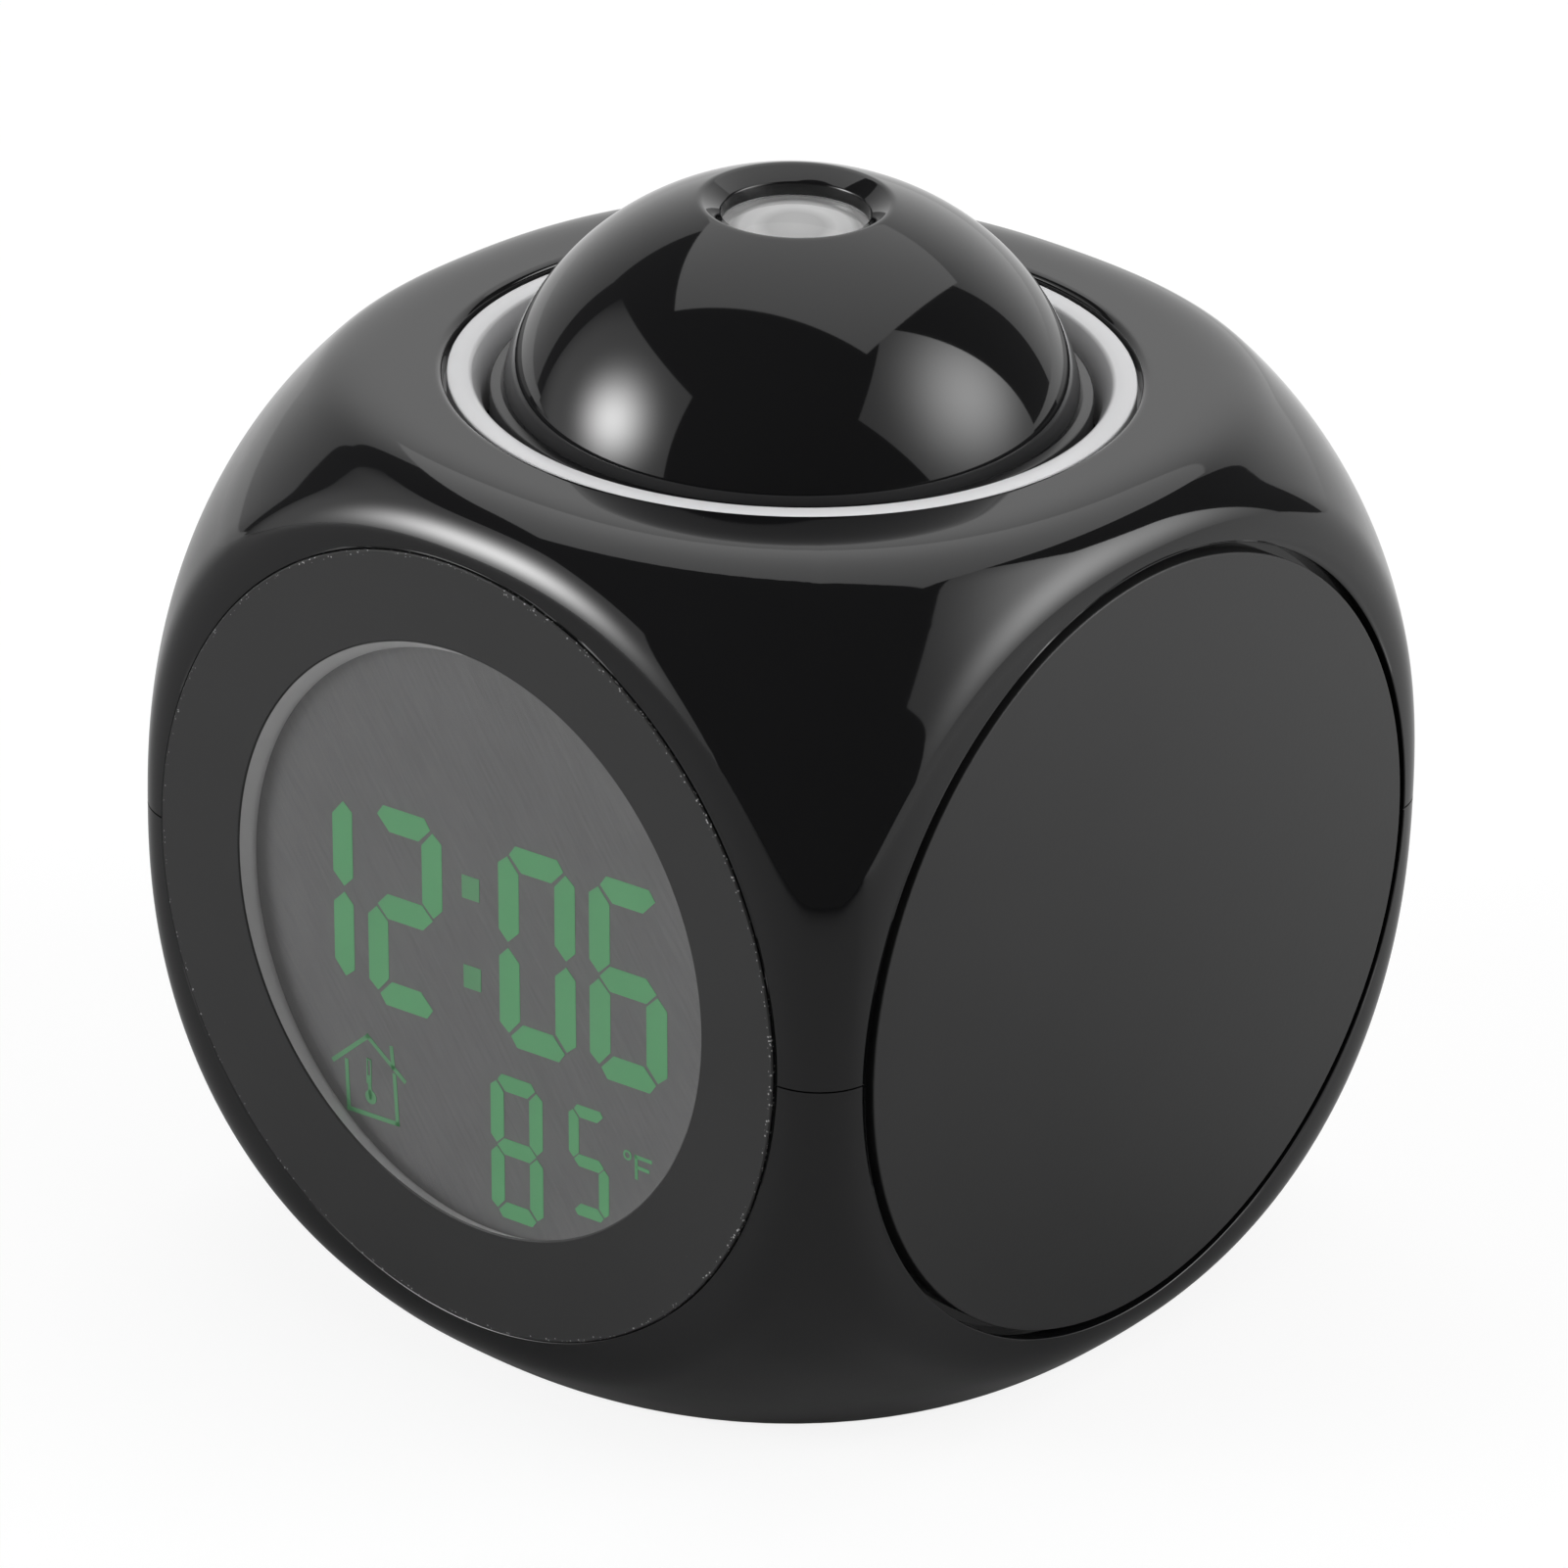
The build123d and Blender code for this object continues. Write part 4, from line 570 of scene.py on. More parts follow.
# %% The rounded cube's form
FORM_REACH = 57.9
ROUNDNESS = 2.3
FLAT_SIDE, FLAT_TOP, FLAT_BASE = 44.8, 44.6, 45.0
RIM_ROLL, BASE_ROLL, INNER_ROLL = 3.6, 1.7, 0.5
EDGE_ON = 0.1  # a flat turned further away than this never cuts the skin
SHELL_WALL = 2.2
INNER_SIDE, INNER_TOP, INNER_BASE = 40.8, 42.0, 41.8


def soft_least(first, second, width):
    """The smaller of two lengths, blended where they are closer than a width."""
    near = max(width - abs(first - second), 0) / width
    return min(first, second) - near ** 3 * width / 6


def form_point(towards_skin, inside):
    """The point of the outer or the inner skin in one direction from the middle of the form."""
    inset = SHELL_WALL if inside else 0
    inner, outer = (INNER_SIDE, INNER_TOP, INNER_BASE), (FLAT_SIDE, FLAT_TOP, FLAT_BASE)
    side, top, base = inner if inside else outer
    unit = towards_skin.normalized()
    reach = (FORM_REACH - inset) / sum(abs(c) ** ROUNDNESS for c in unit) ** (1 / ROUNDNESS)
    upright = (top, RIM_ROLL) if unit.z > 0 else (base, BASE_ROLL)
    for part, (flat, roll) in zip(unit, ((side, RIM_ROLL), (side, RIM_ROLL), upright)):
        if abs(part) > EDGE_ON:
            reach = soft_least(reach, flat / abs(part), INNER_ROLL if inside else roll)
    return unit * reach


print("corner of the form at", [round(c, 1) for c in form_point(Vector((1, 1, 1)), False)])

# %% [markdown]
# Each side is grown as a run of rings, from a circle to a square. A stage is a rule that says where
# the points of one ring lie, so that an opening, its ledge and the skin round it are all written as
# one list of stages. The rings crowd together near the circle, where the rim is rolled over.

# %% Rings on one side of the form
RING_POINTS = 256
SKIN_RINGS, INNER_RINGS = 26, 8
RING_CROWDING = 1.25
QUARTER = math.pi / 2
SIDES = {
    "front": Matrix.Rotation(QUARTER, 3, "X"),
    "rear": Matrix.Rotation(-QUARTER, 3, "X") @ Matrix.Rotation(2 * QUARTER, 3, "Z"),
    "right": Matrix.Rotation(QUARTER, 3, "Z") @ Matrix.Rotation(QUARTER, 3, "X"),
    "left": Matrix.Rotation(-QUARTER, 3, "Z") @ Matrix.Rotation(QUARTER, 3, "X"),
    "top": Matrix.Identity(3),
    "base": Matrix.Rotation(2 * QUARTER, 3, "X"),
}


def skin_stage(side, start, share, inside):
    """A ring between the circle at the slope `start` and the square where the next side begins."""
    def place(across, up):
        square = 1 / max(abs(across), abs(up))
        slope = start + (square - start) * share
        return form_point(SIDES[side] @ Vector((slope * across, slope * up, 1)), inside)
    return place


def flat_stage(side, radius, height):
    """A plain circle at one height on a side's own axis."""
    def place(across, up):
        return SIDES[side] @ Vector((radius * across, radius * up, height))
    return place


def grow_rings(bm, side, stages):
    """A circle, then one extruded ring for each further stage. Returns the first ring's edges."""
    back = SIDES[side].transposed()
    points = bmesh.ops.create_circle(bm, segments=RING_POINTS, radius=1.0)["verts"]
    bmesh.ops.rotate(bm, matrix=SIDES[side], verts=points)
    ring = list({edge for point in points for edge in point.link_edges})
    first = ring
    for count, stage in enumerate(stages):
        if count:
            grown = bmesh.ops.extrude_edge_only(bm, edges=ring)["geom"]
            ring = [item for item in grown if isinstance(item, bmesh.types.BMEdge)]
            points = {item for item in grown if isinstance(item, bmesh.types.BMVert)}
            ring = [edge for edge in ring if points.issuperset(edge.verts)]
        for point in points:
            local = back @ point.co
            turn = math.atan2(local.y, local.x)
            point.co = stage(math.cos(turn), math.sin(turn))
    return first


def skin_stages(side, radius, height, inside):
    """Rings from a circle on the flat out to the square, closer together near the circle."""
    rings = INNER_RINGS if inside else SKIN_RINGS
    shares = [(n / rings) ** RING_CROWDING for n in range(1, rings + 1)]
    return [skin_stage(side, radius / height, share, inside) for share in shares]


print("sides:", list(SIDES))

# %% [markdown]
# The whole body is grown once as one closed skin: from the inner skin through each opening, over
# the ledge that carries the disc and out across the skin. The base is closed by a flat fill round
# the battery bay. The fill starts a little inside the rim, so that its long triangles don't share
# the rim's slanted normals and shade dark. The body is then cut in two where the halves of the real
# housing meet, and each half's edge is drawn back a little, which leaves the fine dark parting line.

# %% The body in one piece
SEATS = {"front": (38.9, 43.0), "rear": (38.5, 42.2), "right": (39.0, 43.0), "left": (39.0, 43.0)}
OPENING = 35.0
TOP_OPENING = 32.8
MOUTH_ROLL, MOUTH_STEPS = 0.12, 3
TOP_ROLL, TOP_STEPS = 0.7, 8
BASE_RING, INNER_BASE_RING, BASE_INSET = 38.4, 36.5, 1.5
BAY = (36.4, 53.8)
NOTCH_RADIUS, NOTCH_STEPS = 6.0, 24


def mouth_stages(side, radius, flat, roll, steps):
    """The rounding where the wall of a seat or an opening meets the skin."""
    turns = [QUARTER * n / steps for n in range(steps + 1)]
    return [flat_stage(side, radius + roll * (1 - math.cos(turn)), flat - roll * (1 - math.sin(turn)))
            for turn in turns]


def grow_opening(bm, side, stages, radius, flat, inner_radius, inner_flat, roll=MOUTH_ROLL,
                 steps=MOUTH_STEPS):
    """Inner skin, opening, seat and outer skin of one side, as one run of rings."""
    inner = skin_stages(side, inner_radius, inner_flat, True)[::-1]
    outer = skin_stages(side, radius + roll, flat, False)
    grow_rings(bm, side, inner + stages + mouth_stages(side, radius, flat, roll, steps) + outer)


def bay_outline(bm, height):
    """The battery bay's outline at one height, with the round notch for a finger."""
    half_x, half_y = BAY[0] / 2, BAY[1] / 2
    notch = [(NOTCH_RADIUS * math.cos(turn), half_y + NOTCH_RADIUS * math.sin(turn))
             for turn in (math.pi * n / NOTCH_STEPS for n in range(NOTCH_STEPS + 1))]
    corners = [*notch, (-half_x, half_y), (-half_x, -half_y), (half_x, -half_y), (half_x, half_y)]
    points = [bm.verts.new((x, y, height)) for x, y in corners]
    return [bm.edges.new(pair) for pair in zip(points, points[1:] + points[:1])]


def whole_body():
    """The closed skin of the housing, centred on the middle of its form."""
    bm = bmesh.new()
    for side, (radius, seat) in SEATS.items():
        stages = [flat_stage(side, OPENING, INNER_SIDE), flat_stage(side, OPENING, seat),
                  flat_stage(side, radius, seat)]
        grow_opening(bm, side, stages, radius, FLAT_SIDE, OPENING, INNER_SIDE)
    grow_opening(bm, "top", [flat_stage("top", TOP_OPENING, INNER_TOP)],
                 TOP_OPENING, FLAT_TOP, TOP_OPENING, INNER_TOP, roll=TOP_ROLL, steps=TOP_STEPS)
    for inside, radius, flat in ((False, BASE_RING, FLAT_BASE), (True, INNER_BASE_RING, INNER_BASE)):
        stages = [flat_stage("base", radius - BASE_INSET, flat), flat_stage("base", radius, flat)]
        rim = grow_rings(bm, "base", stages + skin_stages("base", radius, flat, inside))
        bmesh.ops.triangle_fill(bm, edges=rim + bay_outline(bm, -flat), use_beauty=True)
    bmesh.ops.remove_doubles(bm, verts=bm.verts, dist=NEAR)
    open_edges = [edge for edge in bm.edges if len(edge.link_faces) == 1]
    bmesh.ops.bridge_loops(bm, edges=open_edges)
    bmesh.ops.recalc_face_normals(bm, faces=bm.faces)
    print("body open edges:", sum(not edge.is_manifold for edge in bm.edges))
    return bm


body = whole_body()

# %% [markdown]
# Each half is a copy of the body with the other half cut away. The pillars for the case screws, and
# below them the wells that the screwdriver goes up, are turned tubes inside the halves. The wells
# come out of the base through round holes, cut by a Boolean, the one tool that copes with a hole
# that runs across the rings.

# %% Halves of the housing
PARTING_DRAW = 0.08
PILLAR_PLACE, PILLAR_RADIUS, PILLAR_BORE = 27.0, 3.4, 1.35
WELL_RADIUS, WELL_FOOT, WELL_TOP = 2.3, 1.2, 37.8
DRILL_LOW, DRILL_HIGH = -2, 9
ROOF_BITE = 0.2
TUBE_STEPS = 48


def turned(profile, steps=TUBE_STEPS):
    """Turns a closed profile of (radius, height) points about the upright axis."""
    bm = bmesh.new()
    points = [bm.verts.new((radius, 0, height)) for radius, height in profile]
    edges = [bm.edges.new(pair) for pair in zip(points, points[1:] + points[:1])]
    bmesh.ops.spin(bm, geom=points + edges, axis=(0, 0, 1), cent=(0, 0, 0), angle=2 * math.pi,
                   steps=steps, use_merge=True)
    bmesh.ops.remove_doubles(bm, verts=bm.verts, dist=NEAR)
    bmesh.ops.recalc_face_normals(bm, faces=bm.faces)
    return bm


def tube(inner, outer, low, high, steps=TUBE_STEPS):
    """A turned tube, or a rod where the inner radius is 0."""
    return turned([(inner, low), (outer, low), (outer, high), (inner, high)], steps)


def add_copies(bm, part, places=((0, 0),)):
    """Adds a part to a mesh at one or more places, given as (x, y)."""
    mesh = bpy.data.meshes.new("copy")
    part.to_mesh(mesh)
    part.free()
    for x, y in places:
        before = set(bm.verts)
        bm.from_mesh(mesh)
        bmesh.ops.translate(bm, vec=(x, y, 0), verts=[v for v in bm.verts if v not in before])
    bpy.data.meshes.remove(mesh)


def half_body(upper):
    """One half, with its cut edges filled and drawn back from the parting plane."""
    bm = body.copy()
    bmesh.ops.bisect_plane(bm, geom=list(bm.verts) + list(bm.edges) + list(bm.faces), dist=NEAR,
                           plane_co=(0, 0, 0), plane_no=(0, 0, 1), clear_inner=upper,
                           clear_outer=not upper)
    rims = [edge for edge in bm.edges if edge.is_boundary]
    bmesh.ops.holes_fill(bm, edges=rims, sides=0)
    bmesh.ops.recalc_face_normals(bm, faces=bm.faces)
    level = {end for edge in rims for end in edge.verts}
    bmesh.ops.translate(bm, vec=(0, 0, PARTING_DRAW if upper else -PARTING_DRAW), verts=list(level))
    bmesh.ops.translate(bm, vec=(0, 0, MIDDLE), verts=bm.verts)
    return bm


def cut_wells(bm):
    """Round holes through the base for the screw wells, by Boolean."""
    def loose(name, made):
        mesh = bpy.data.meshes.new(name)
        made.to_mesh(mesh)
        made.free()
        thing = bpy.data.objects.new(name, mesh)
        bpy.context.scene.collection.objects.link(thing)
        return thing

    drills = bmesh.new()
    add_copies(drills, tube(0, WELL_RADIUS, DRILL_LOW, DRILL_HIGH), pillar_places)
    base, drill = loose("base", bm), loose("drill", drills)
    cut = base.modifiers.new("wells", "BOOLEAN")
    cut.operation, cut.solver, cut.object = "DIFFERENCE", "EXACT", drill
    made = bpy.data.meshes.new_from_object(base.evaluated_get(bpy.context.evaluated_depsgraph_get()))
    for thing in (base, drill):
        bpy.data.objects.remove(thing)
    bm = bmesh.new()
    bm.from_mesh(made)
    return bm


pillar_places = [(x * PILLAR_PLACE, y * PILLAR_PLACE) for x in (-1, 1) for y in (-1, 1)]
upper_half = half_body(True)
pillar = tube(PILLAR_BORE, PILLAR_RADIUS, MIDDLE + PARTING_DRAW, MIDDLE + INNER_TOP + ROOF_BITE)
add_copies(upper_half, pillar, pillar_places)
to_piece(upper_half, "housing_top", "gloss_black", replaces="upper_shell")

lower_half = cut_wells(half_body(False))
pillar_top = MIDDLE - PARTING_DRAW
well = turned([(WELL_RADIUS, WELL_FOOT), (PILLAR_RADIUS, WELL_FOOT), (PILLAR_RADIUS, pillar_top),
               (PILLAR_BORE, pillar_top), (PILLAR_BORE, WELL_TOP), (WELL_RADIUS, WELL_TOP)])
add_copies(lower_half, well, pillar_places)
print("pillars:", len(pillar_places))

# %% [markdown]
# The battery bay is a tray that is open below. It starts as a block, its lower face is inset by the
# wall and pushed up, and the half-round shelf that a fingertip reaches is a disc cut along the bay.

# %% Battery bay
BAY_WALL, BAY_CEILING, BAY_SEAT = 1.4, 13.1, 1.9
NOTCH_DEPTH = 1.2
BASE_WALL = 3.2


def battery_tray():
    """A box that is open below."""
    bm = bmesh.new()
    top = BAY_CEILING + BAY_WALL
    bmesh.ops.create_cube(bm, size=1.0)
    bmesh.ops.scale(bm, vec=(BAY[0], BAY[1], top - BAY_SEAT), verts=bm.verts)
    bmesh.ops.translate(bm, vec=(0, 0, (top + BAY_SEAT) / 2), verts=bm.verts)
    under = min(bm.faces, key=lambda face: face.calc_center_median().z)
    bmesh.ops.inset_region(bm, faces=[under], thickness=BAY_WALL, use_even_offset=True)
    bmesh.ops.translate(bm, vec=(0, 0, BAY_CEILING - BAY_SEAT),
                        verts=bmesh.ops.extrude_discrete_faces(bm, faces=[under])["faces"][0].verts)
    bmesh.ops.recalc_face_normals(bm, faces=bm.faces)
    return bm


def notch_shelf():
    """The half disc over the notch beside the bay."""
    bm = bmesh.new()
    bmesh.ops.create_cone(bm, cap_ends=True, segments=TUBE_STEPS, radius1=NOTCH_RADIUS,
                          radius2=NOTCH_RADIUS, depth=BASE_WALL - NOTCH_DEPTH)
    bmesh.ops.translate(bm, vec=(0, BAY[1] / 2, (BASE_WALL + NOTCH_DEPTH) / 2), verts=bm.verts)
    cut = bmesh.ops.bisect_plane(bm, geom=list(bm.verts) + list(bm.edges) + list(bm.faces), dist=NEAR,
                                 plane_co=(0, BAY[1] / 2, 0), plane_no=(0, 1, 0), clear_inner=True)
    bmesh.ops.holes_fill(bm, edges=[e for e in cut["geom_cut"] if isinstance(e, bmesh.types.BMEdge)])
    bmesh.ops.recalc_face_normals(bm, faces=bm.faces)
    return bm


add_copies(lower_half, battery_tray())
add_copies(lower_half, notch_shelf())
to_piece(lower_half, "housing_base", "gloss_black", replaces="lower_shell")
body.free()

# %% [markdown]
# The discs are turned about their own axes, with a fine bevel on the front edge that catches the
# light as a thin line. A helper turns the profile about the upright axis and then lays the disc on
# its side of the housing. The rim that centres each disc in its opening is part of the profile.

# %% Side plates
FACE = 45.0
DISC_BACK = 43.0
SPIGOT_OUTER, SPIGOT_INNER, SPIGOT_END = 34.8, 33.2, 39.5
PLATE_RADIUS, PLATE_BEVEL = 38.1, 0.15
FINE_STEPS, SOFT_STEPS = 256, 3
SAME_PLACE = 0.01


def lay_on(bm, side):
    """Takes a part made on the upright axis, centred on the form, to one side of the housing."""
    bmesh.ops.rotate(bm, matrix=SIDES[side], verts=bm.verts)
    bmesh.ops.translate(bm, vec=(0, 0, MIDDLE), verts=bm.verts)
    return bm


def soften(bm, radius, height, width, segments=SOFT_STEPS):
    """Bevels the round edge of a turned part that lies at one radius and height."""
    def on_edge(point):
        across, up = point.co.xy.length - radius, point.co.z - height
        return abs(across) < SAME_PLACE and abs(up) < SAME_PLACE

    edges = [edge for edge in bm.edges if all(on_edge(end) for end in edge.verts)]
    bmesh.ops.bevel(bm, geom=edges, offset=width, segments=segments, profile=0.5, affect="EDGES",
                    material=-1)


for side in ("right", "left"):
    disc = turned([(0, FACE), (PLATE_RADIUS, FACE), (PLATE_RADIUS, DISC_BACK), (SPIGOT_OUTER, DISC_BACK),
                   (SPIGOT_OUTER, SPIGOT_END), (SPIGOT_INNER, SPIGOT_END), (SPIGOT_INNER, DISC_BACK),
                   (0, DISC_BACK)], steps=FINE_STEPS)
    soften(disc, PLATE_RADIUS, FACE, PLATE_BEVEL)
    to_piece(lay_on(disc, side), "side_disc_" + side, "satin_black", replaces="side_plate_" + side)

# %% [markdown]
# The front disc is a satin ring. Its opening sits a little off the disc's middle, and the wall of the
# opening slopes back to the display. So the rings are grown from ovals that shift on the way, and the
# wall is a second material on the same mesh: a pale grey with a faint glow, painted light that stands
# in for the light the wall catches.

# %% Front disc
BEZEL_RADIUS, BEZEL_BEVEL = 38.8, 0.12
APERTURE_RADIUS, APERTURE_SHIFT = 29.3, (0.75, 0.95)
DISPLAY_FACE = 42.6
WELL_WIDTH, WELL_HEIGHT, WELL_SHIFT = 29.0, 29.2, (0.4, -0.4)
LIP_ROLL = 0.15


def grow_ovals(bm, ovals):
    """Extruded rings through ovals of (half width, half height, shift, height on the axis)."""
    bmesh.ops.create_circle(bm, segments=FINE_STEPS, radius=1.0)
    points, ring, faces = list(bm.verts), list(bm.edges), []
    first, before = ring, (1.0, 1.0, (0, 0), 0)
    for count, oval in enumerate(ovals):
        if count:
            grown = bmesh.ops.extrude_edge_only(bm, edges=ring)["geom"]
            points = {item for item in grown if isinstance(item, bmesh.types.BMVert)}
            faces = [item for item in grown if isinstance(item, bmesh.types.BMFace)]
            ring = [item for item in grown if isinstance(item, bmesh.types.BMEdge)
                    and points.issuperset(item.verts)]
        for point in points:
            x, y = ((point.co[n] - before[2][n]) / before[n] for n in (0, 1))
            point.co = (oval[2][0] + x * oval[0], oval[2][1] + y * oval[1], oval[3])
        before = oval
    return first, ring, faces


def circle(radius, height, shift=(0, 0)):
    """A round oval for grow_ovals."""
    return radius, radius, shift, height


def front_disc():
    """The ring round the display, with the wall of its opening as the second material."""
    bm = bmesh.new()
    first, last, wall = grow_ovals(bm, [
        circle(SPIGOT_INNER, DISPLAY_FACE), circle(SPIGOT_INNER, SPIGOT_END),
        circle(SPIGOT_OUTER, SPIGOT_END), circle(SPIGOT_OUTER, DISC_BACK),
        circle(BEZEL_RADIUS, DISC_BACK), circle(BEZEL_RADIUS, FACE - BEZEL_BEVEL),
        circle(BEZEL_RADIUS - BEZEL_BEVEL, FACE),
        circle(APERTURE_RADIUS + LIP_ROLL, FACE, APERTURE_SHIFT),
        circle(APERTURE_RADIUS, FACE - LIP_ROLL, APERTURE_SHIFT),
        (WELL_WIDTH, WELL_HEIGHT, WELL_SHIFT, DISPLAY_FACE),
    ])
    for face in wall:
        face.material_index = 1
    bmesh.ops.bridge_loops(bm, edges=first + last)
    bmesh.ops.recalc_face_normals(bm, faces=bm.faces)
    return lay_on(bm, "front")


to_piece(front_disc(), "front_disc", "bezel_black", replaces="front_bezel", second=aperture_grey_painted_light)

# %% [markdown]
# The window is a clear sheet close over the display. It could be a plain disc on top of the ring, but
# its edge would then cast a dark line, so it is let into the wall of the opening all round.

# %% Window
WINDOW_RADIUS, WINDOW_SHIFT = 29.35, (0.45, -0.2)
WINDOW_FRONT, WINDOW_BACK = 43.0, 42.8

window = tube(0, WINDOW_RADIUS, WINDOW_BACK, WINDOW_FRONT, FINE_STEPS)
bmesh.ops.translate(window, vec=(*WINDOW_SHIFT, 0), verts=window.verts)
to_piece(lay_on(window, "front"), "clear_window", "window_clear", replaces="display_window")

# %% [markdown]
# The lit marks are thin plates on the display's face. A digit has up to seven segments, each a long
# hexagon, and four of them are mirror images, so three outlines are enough. The whole row leans and
# climbs slightly, which a shear does after the digit is drawn upright.

# %% Digits
MARK_THICKNESS = 0.04
CLIMB, LEAN = 0.078, -0.026
LIT = {"0": "abcdef", "1": "bc", "2": "abged", "5": "afgcd", "6": "afgedc", "8": "abcdefg"}
LARGE, MEDIUM, SMALL = (9.6, 20.7, 2.55), (6.6, 15.0, 1.68), (5.0, 11.5, 1.25)  # width, height, stroke
FIGURES = [("1", (-20.64, -0.77), LARGE), ("2", (-9.14, -0.18), LARGE), ("0", (7.64, 1.36), LARGE),
           ("6", (19.0, 2.27), LARGE), ("8", (5.36, -20.0), MEDIUM), ("5", (14.45, -17.95), SMALL)]


def segment_outlines(width, height, stroke):
    """Corners of the seven segments of a digit about its middle."""
    x, y, s = width / 2, height / 2, stroke
    top = [(0.55 * s - x, y - 0.4 * s), (0.85 * s - x, y), (x - 0.85 * s, y), (x - 0.55 * s, y - 0.4 * s),
           (x - 1.15 * s, y - s), (1.15 * s - x, y - s)]
    side = [(x - 0.45 * s, y - 0.5 * s), (x, y - 0.85 * s), (x, 0.55 * s), (x - 0.45 * s, 0.12 * s),
            (x - s, 0.62 * s), (x - s, y - 1.1 * s)]
    middle = [(0.5 * s - x, 0), (s - x, s / 2), (x - s, s / 2),
              (x - 0.5 * s, 0), (x - s, -s / 2), (s - x, -s / 2)]

    def flipped(outline, across, up):
        return [(across * u, up * v) for u, v in outline]

    return {"a": top, "b": side, "c": flipped(side, 1, -1), "d": flipped(top, 1, -1),
            "e": flipped(side, -1, -1), "f": flipped(side, -1, 1), "g": middle}


def mark_plate(bm, outline):
    """A thin plate of one outline on the display's face."""
    face = bm.faces.new([bm.verts.new((*corner, DISPLAY_FACE)) for corner in outline])
    raised = bmesh.ops.extrude_face_region(bm, geom=[face])["geom"]
    bmesh.ops.translate(bm, vec=(0, 0, MARK_THICKNESS),
                        verts=[item for item in raised if isinstance(item, bmesh.types.BMVert)])


def in_row(outline, place):
    """An outline at its place in the row of digits, which leans and climbs."""
    return [(place[0] + u + LEAN * v, place[1] + v + CLIMB * u) for u, v in outline]


def marks_piece(bm, name, finish):
    """Marks drawn flat become a piece on the front of the clock."""
    bmesh.ops.recalc_face_normals(bm, faces=bm.faces)
    to_piece(lay_on(bm, "front"), name, "display_grey", finish=finish)


figures = bmesh.new()
for figure, place, size in FIGURES:
    outlines = segment_outlines(*size)
    for segment in LIT[figure]:
        mark_plate(figures, in_row(outlines[segment], place))
marks_piece(figures, "lit_digits", mark_green)

# %% [markdown]
# The small signs are the colon, a house with a thermometer in it, and the unit of temperature. The
# unit is as bright as the digits and the others are dimmer, so they are two pieces. A font would be
# quicker for the unit, but its outline is not made of a display's straight strokes.

# %% Small signs
COLON_DOTS = [(-0.82, 5.23), (-0.50, -4.00)]
COLON_HALF = (1.1, 1.18)
HOUSE_STROKE = 0.45
HOUSE = [[(-18.36, -19.0), (-13.95, -15.0), (-9.18, -18.0)], [(-10.86, -15.14), (-10.6, -17.1)],
         [(-16.68, -18.55), (-16.36, -23.5), (-10.0, -22.9), (-10.45, -17.9)]]
STEM = [[(-13.98, -19.9), (-14.02, -17.4), (-13.55, -17.4), (-13.5, -19.9)]]
STEM_STROKE = 0.16
BULB, BULB_RADIUS = (-13.5, -21.3), 0.72
FILLED_STEM = [[(-13.72, -19.3), (-13.55, -21.3)]]
LETTER = [[(22.1, -14.95), (20.3, -15.05), (20.4, -17.2)], [(20.4, -16.1), (21.8, -16.05)]]
LETTER_STROKE = 0.36
DEGREE, DEGREE_RADII = (19.23, -15.27), (0.30, 0.52)


def strokes(bm, lines, width):
    """Straight strokes along lines of points; each stroke is a thin plate."""
    for line in lines:
        for start, end in zip(line, line[1:]):
            along = (Vector(end) - Vector(start)).normalized() * width / 2
            across = Vector((-along.y, along.x))
            start_out, end_out = Vector(start) - along, Vector(end) + along
            mark_plate(bm, [start_out + across, start_out - across, end_out - across, end_out + across])


signs = bmesh.new()
half_x, half_y = COLON_HALF
for dot in COLON_DOTS:
    corners = [(-half_x, -half_y), (half_x, -half_y), (half_x, half_y), (-half_x, half_y)]
    mark_plate(signs, in_row(corners, dot))
strokes(signs, HOUSE, HOUSE_STROKE)
strokes(signs, STEM, STEM_STROKE)
strokes(signs, FILLED_STEM, HOUSE_STROKE)
add_copies(signs, tube(0, BULB_RADIUS, DISPLAY_FACE, DISPLAY_FACE + MARK_THICKNESS), [BULB])
marks_piece(signs, "lit_signs", mark_dim)

unit = bmesh.new()
strokes(unit, LETTER, LETTER_STROKE)
add_copies(unit, tube(*DEGREE_RADII, DISPLAY_FACE, DISPLAY_FACE + MARK_THICKNESS), [DEGREE])
marks_piece(unit, "lit_unit", mark_green)

# %% [markdown]
# The dome is part of an ellipsoid, and its gloss shows any flat spot, so its profile follows the
# ellipse closely before it is turned. A scaled sphere would be quicker, but its rings wouldn't end
# at the seat and at the eye. The sharp rims are bevelled after the turning.

# %% Dome
DOME_WIDTH, DOME_RISE, DOME_MIDDLE = 27.85, 25.15, 82.9
DOME_WALL, DOME_SEAT = 2.0, 87.85
RIM_RADIUS, EYE_RADIUS, EYE_FUNNEL, EYE_DEPTH = 9.0, 7.0, 1.25, 2.6
RIM_SOFT, RIM_SOFT_STEPS, EYE_SOFT = 0.35, 4, 0.15
BOSS_BORE, BOSS_OUTER, BOSS_DEPTH = 8.6, 10.4, 3.1
ARC_POINTS = 44


def dome_arc(inset, low_height, high_radius):
    """Points up the dome's outline, from one height to one distance from the axis."""
    wide, tall = DOME_WIDTH - inset, DOME_RISE - inset
    start, end = math.asin((low_height - DOME_MIDDLE) / tall), math.acos(high_radius / wide)
    turns = [start + (end - start) * n / (ARC_POINTS - 1) for n in range(ARC_POINTS)]
    return [(wide * math.cos(turn), DOME_MIDDLE + tall * math.sin(turn)) for turn in turns]


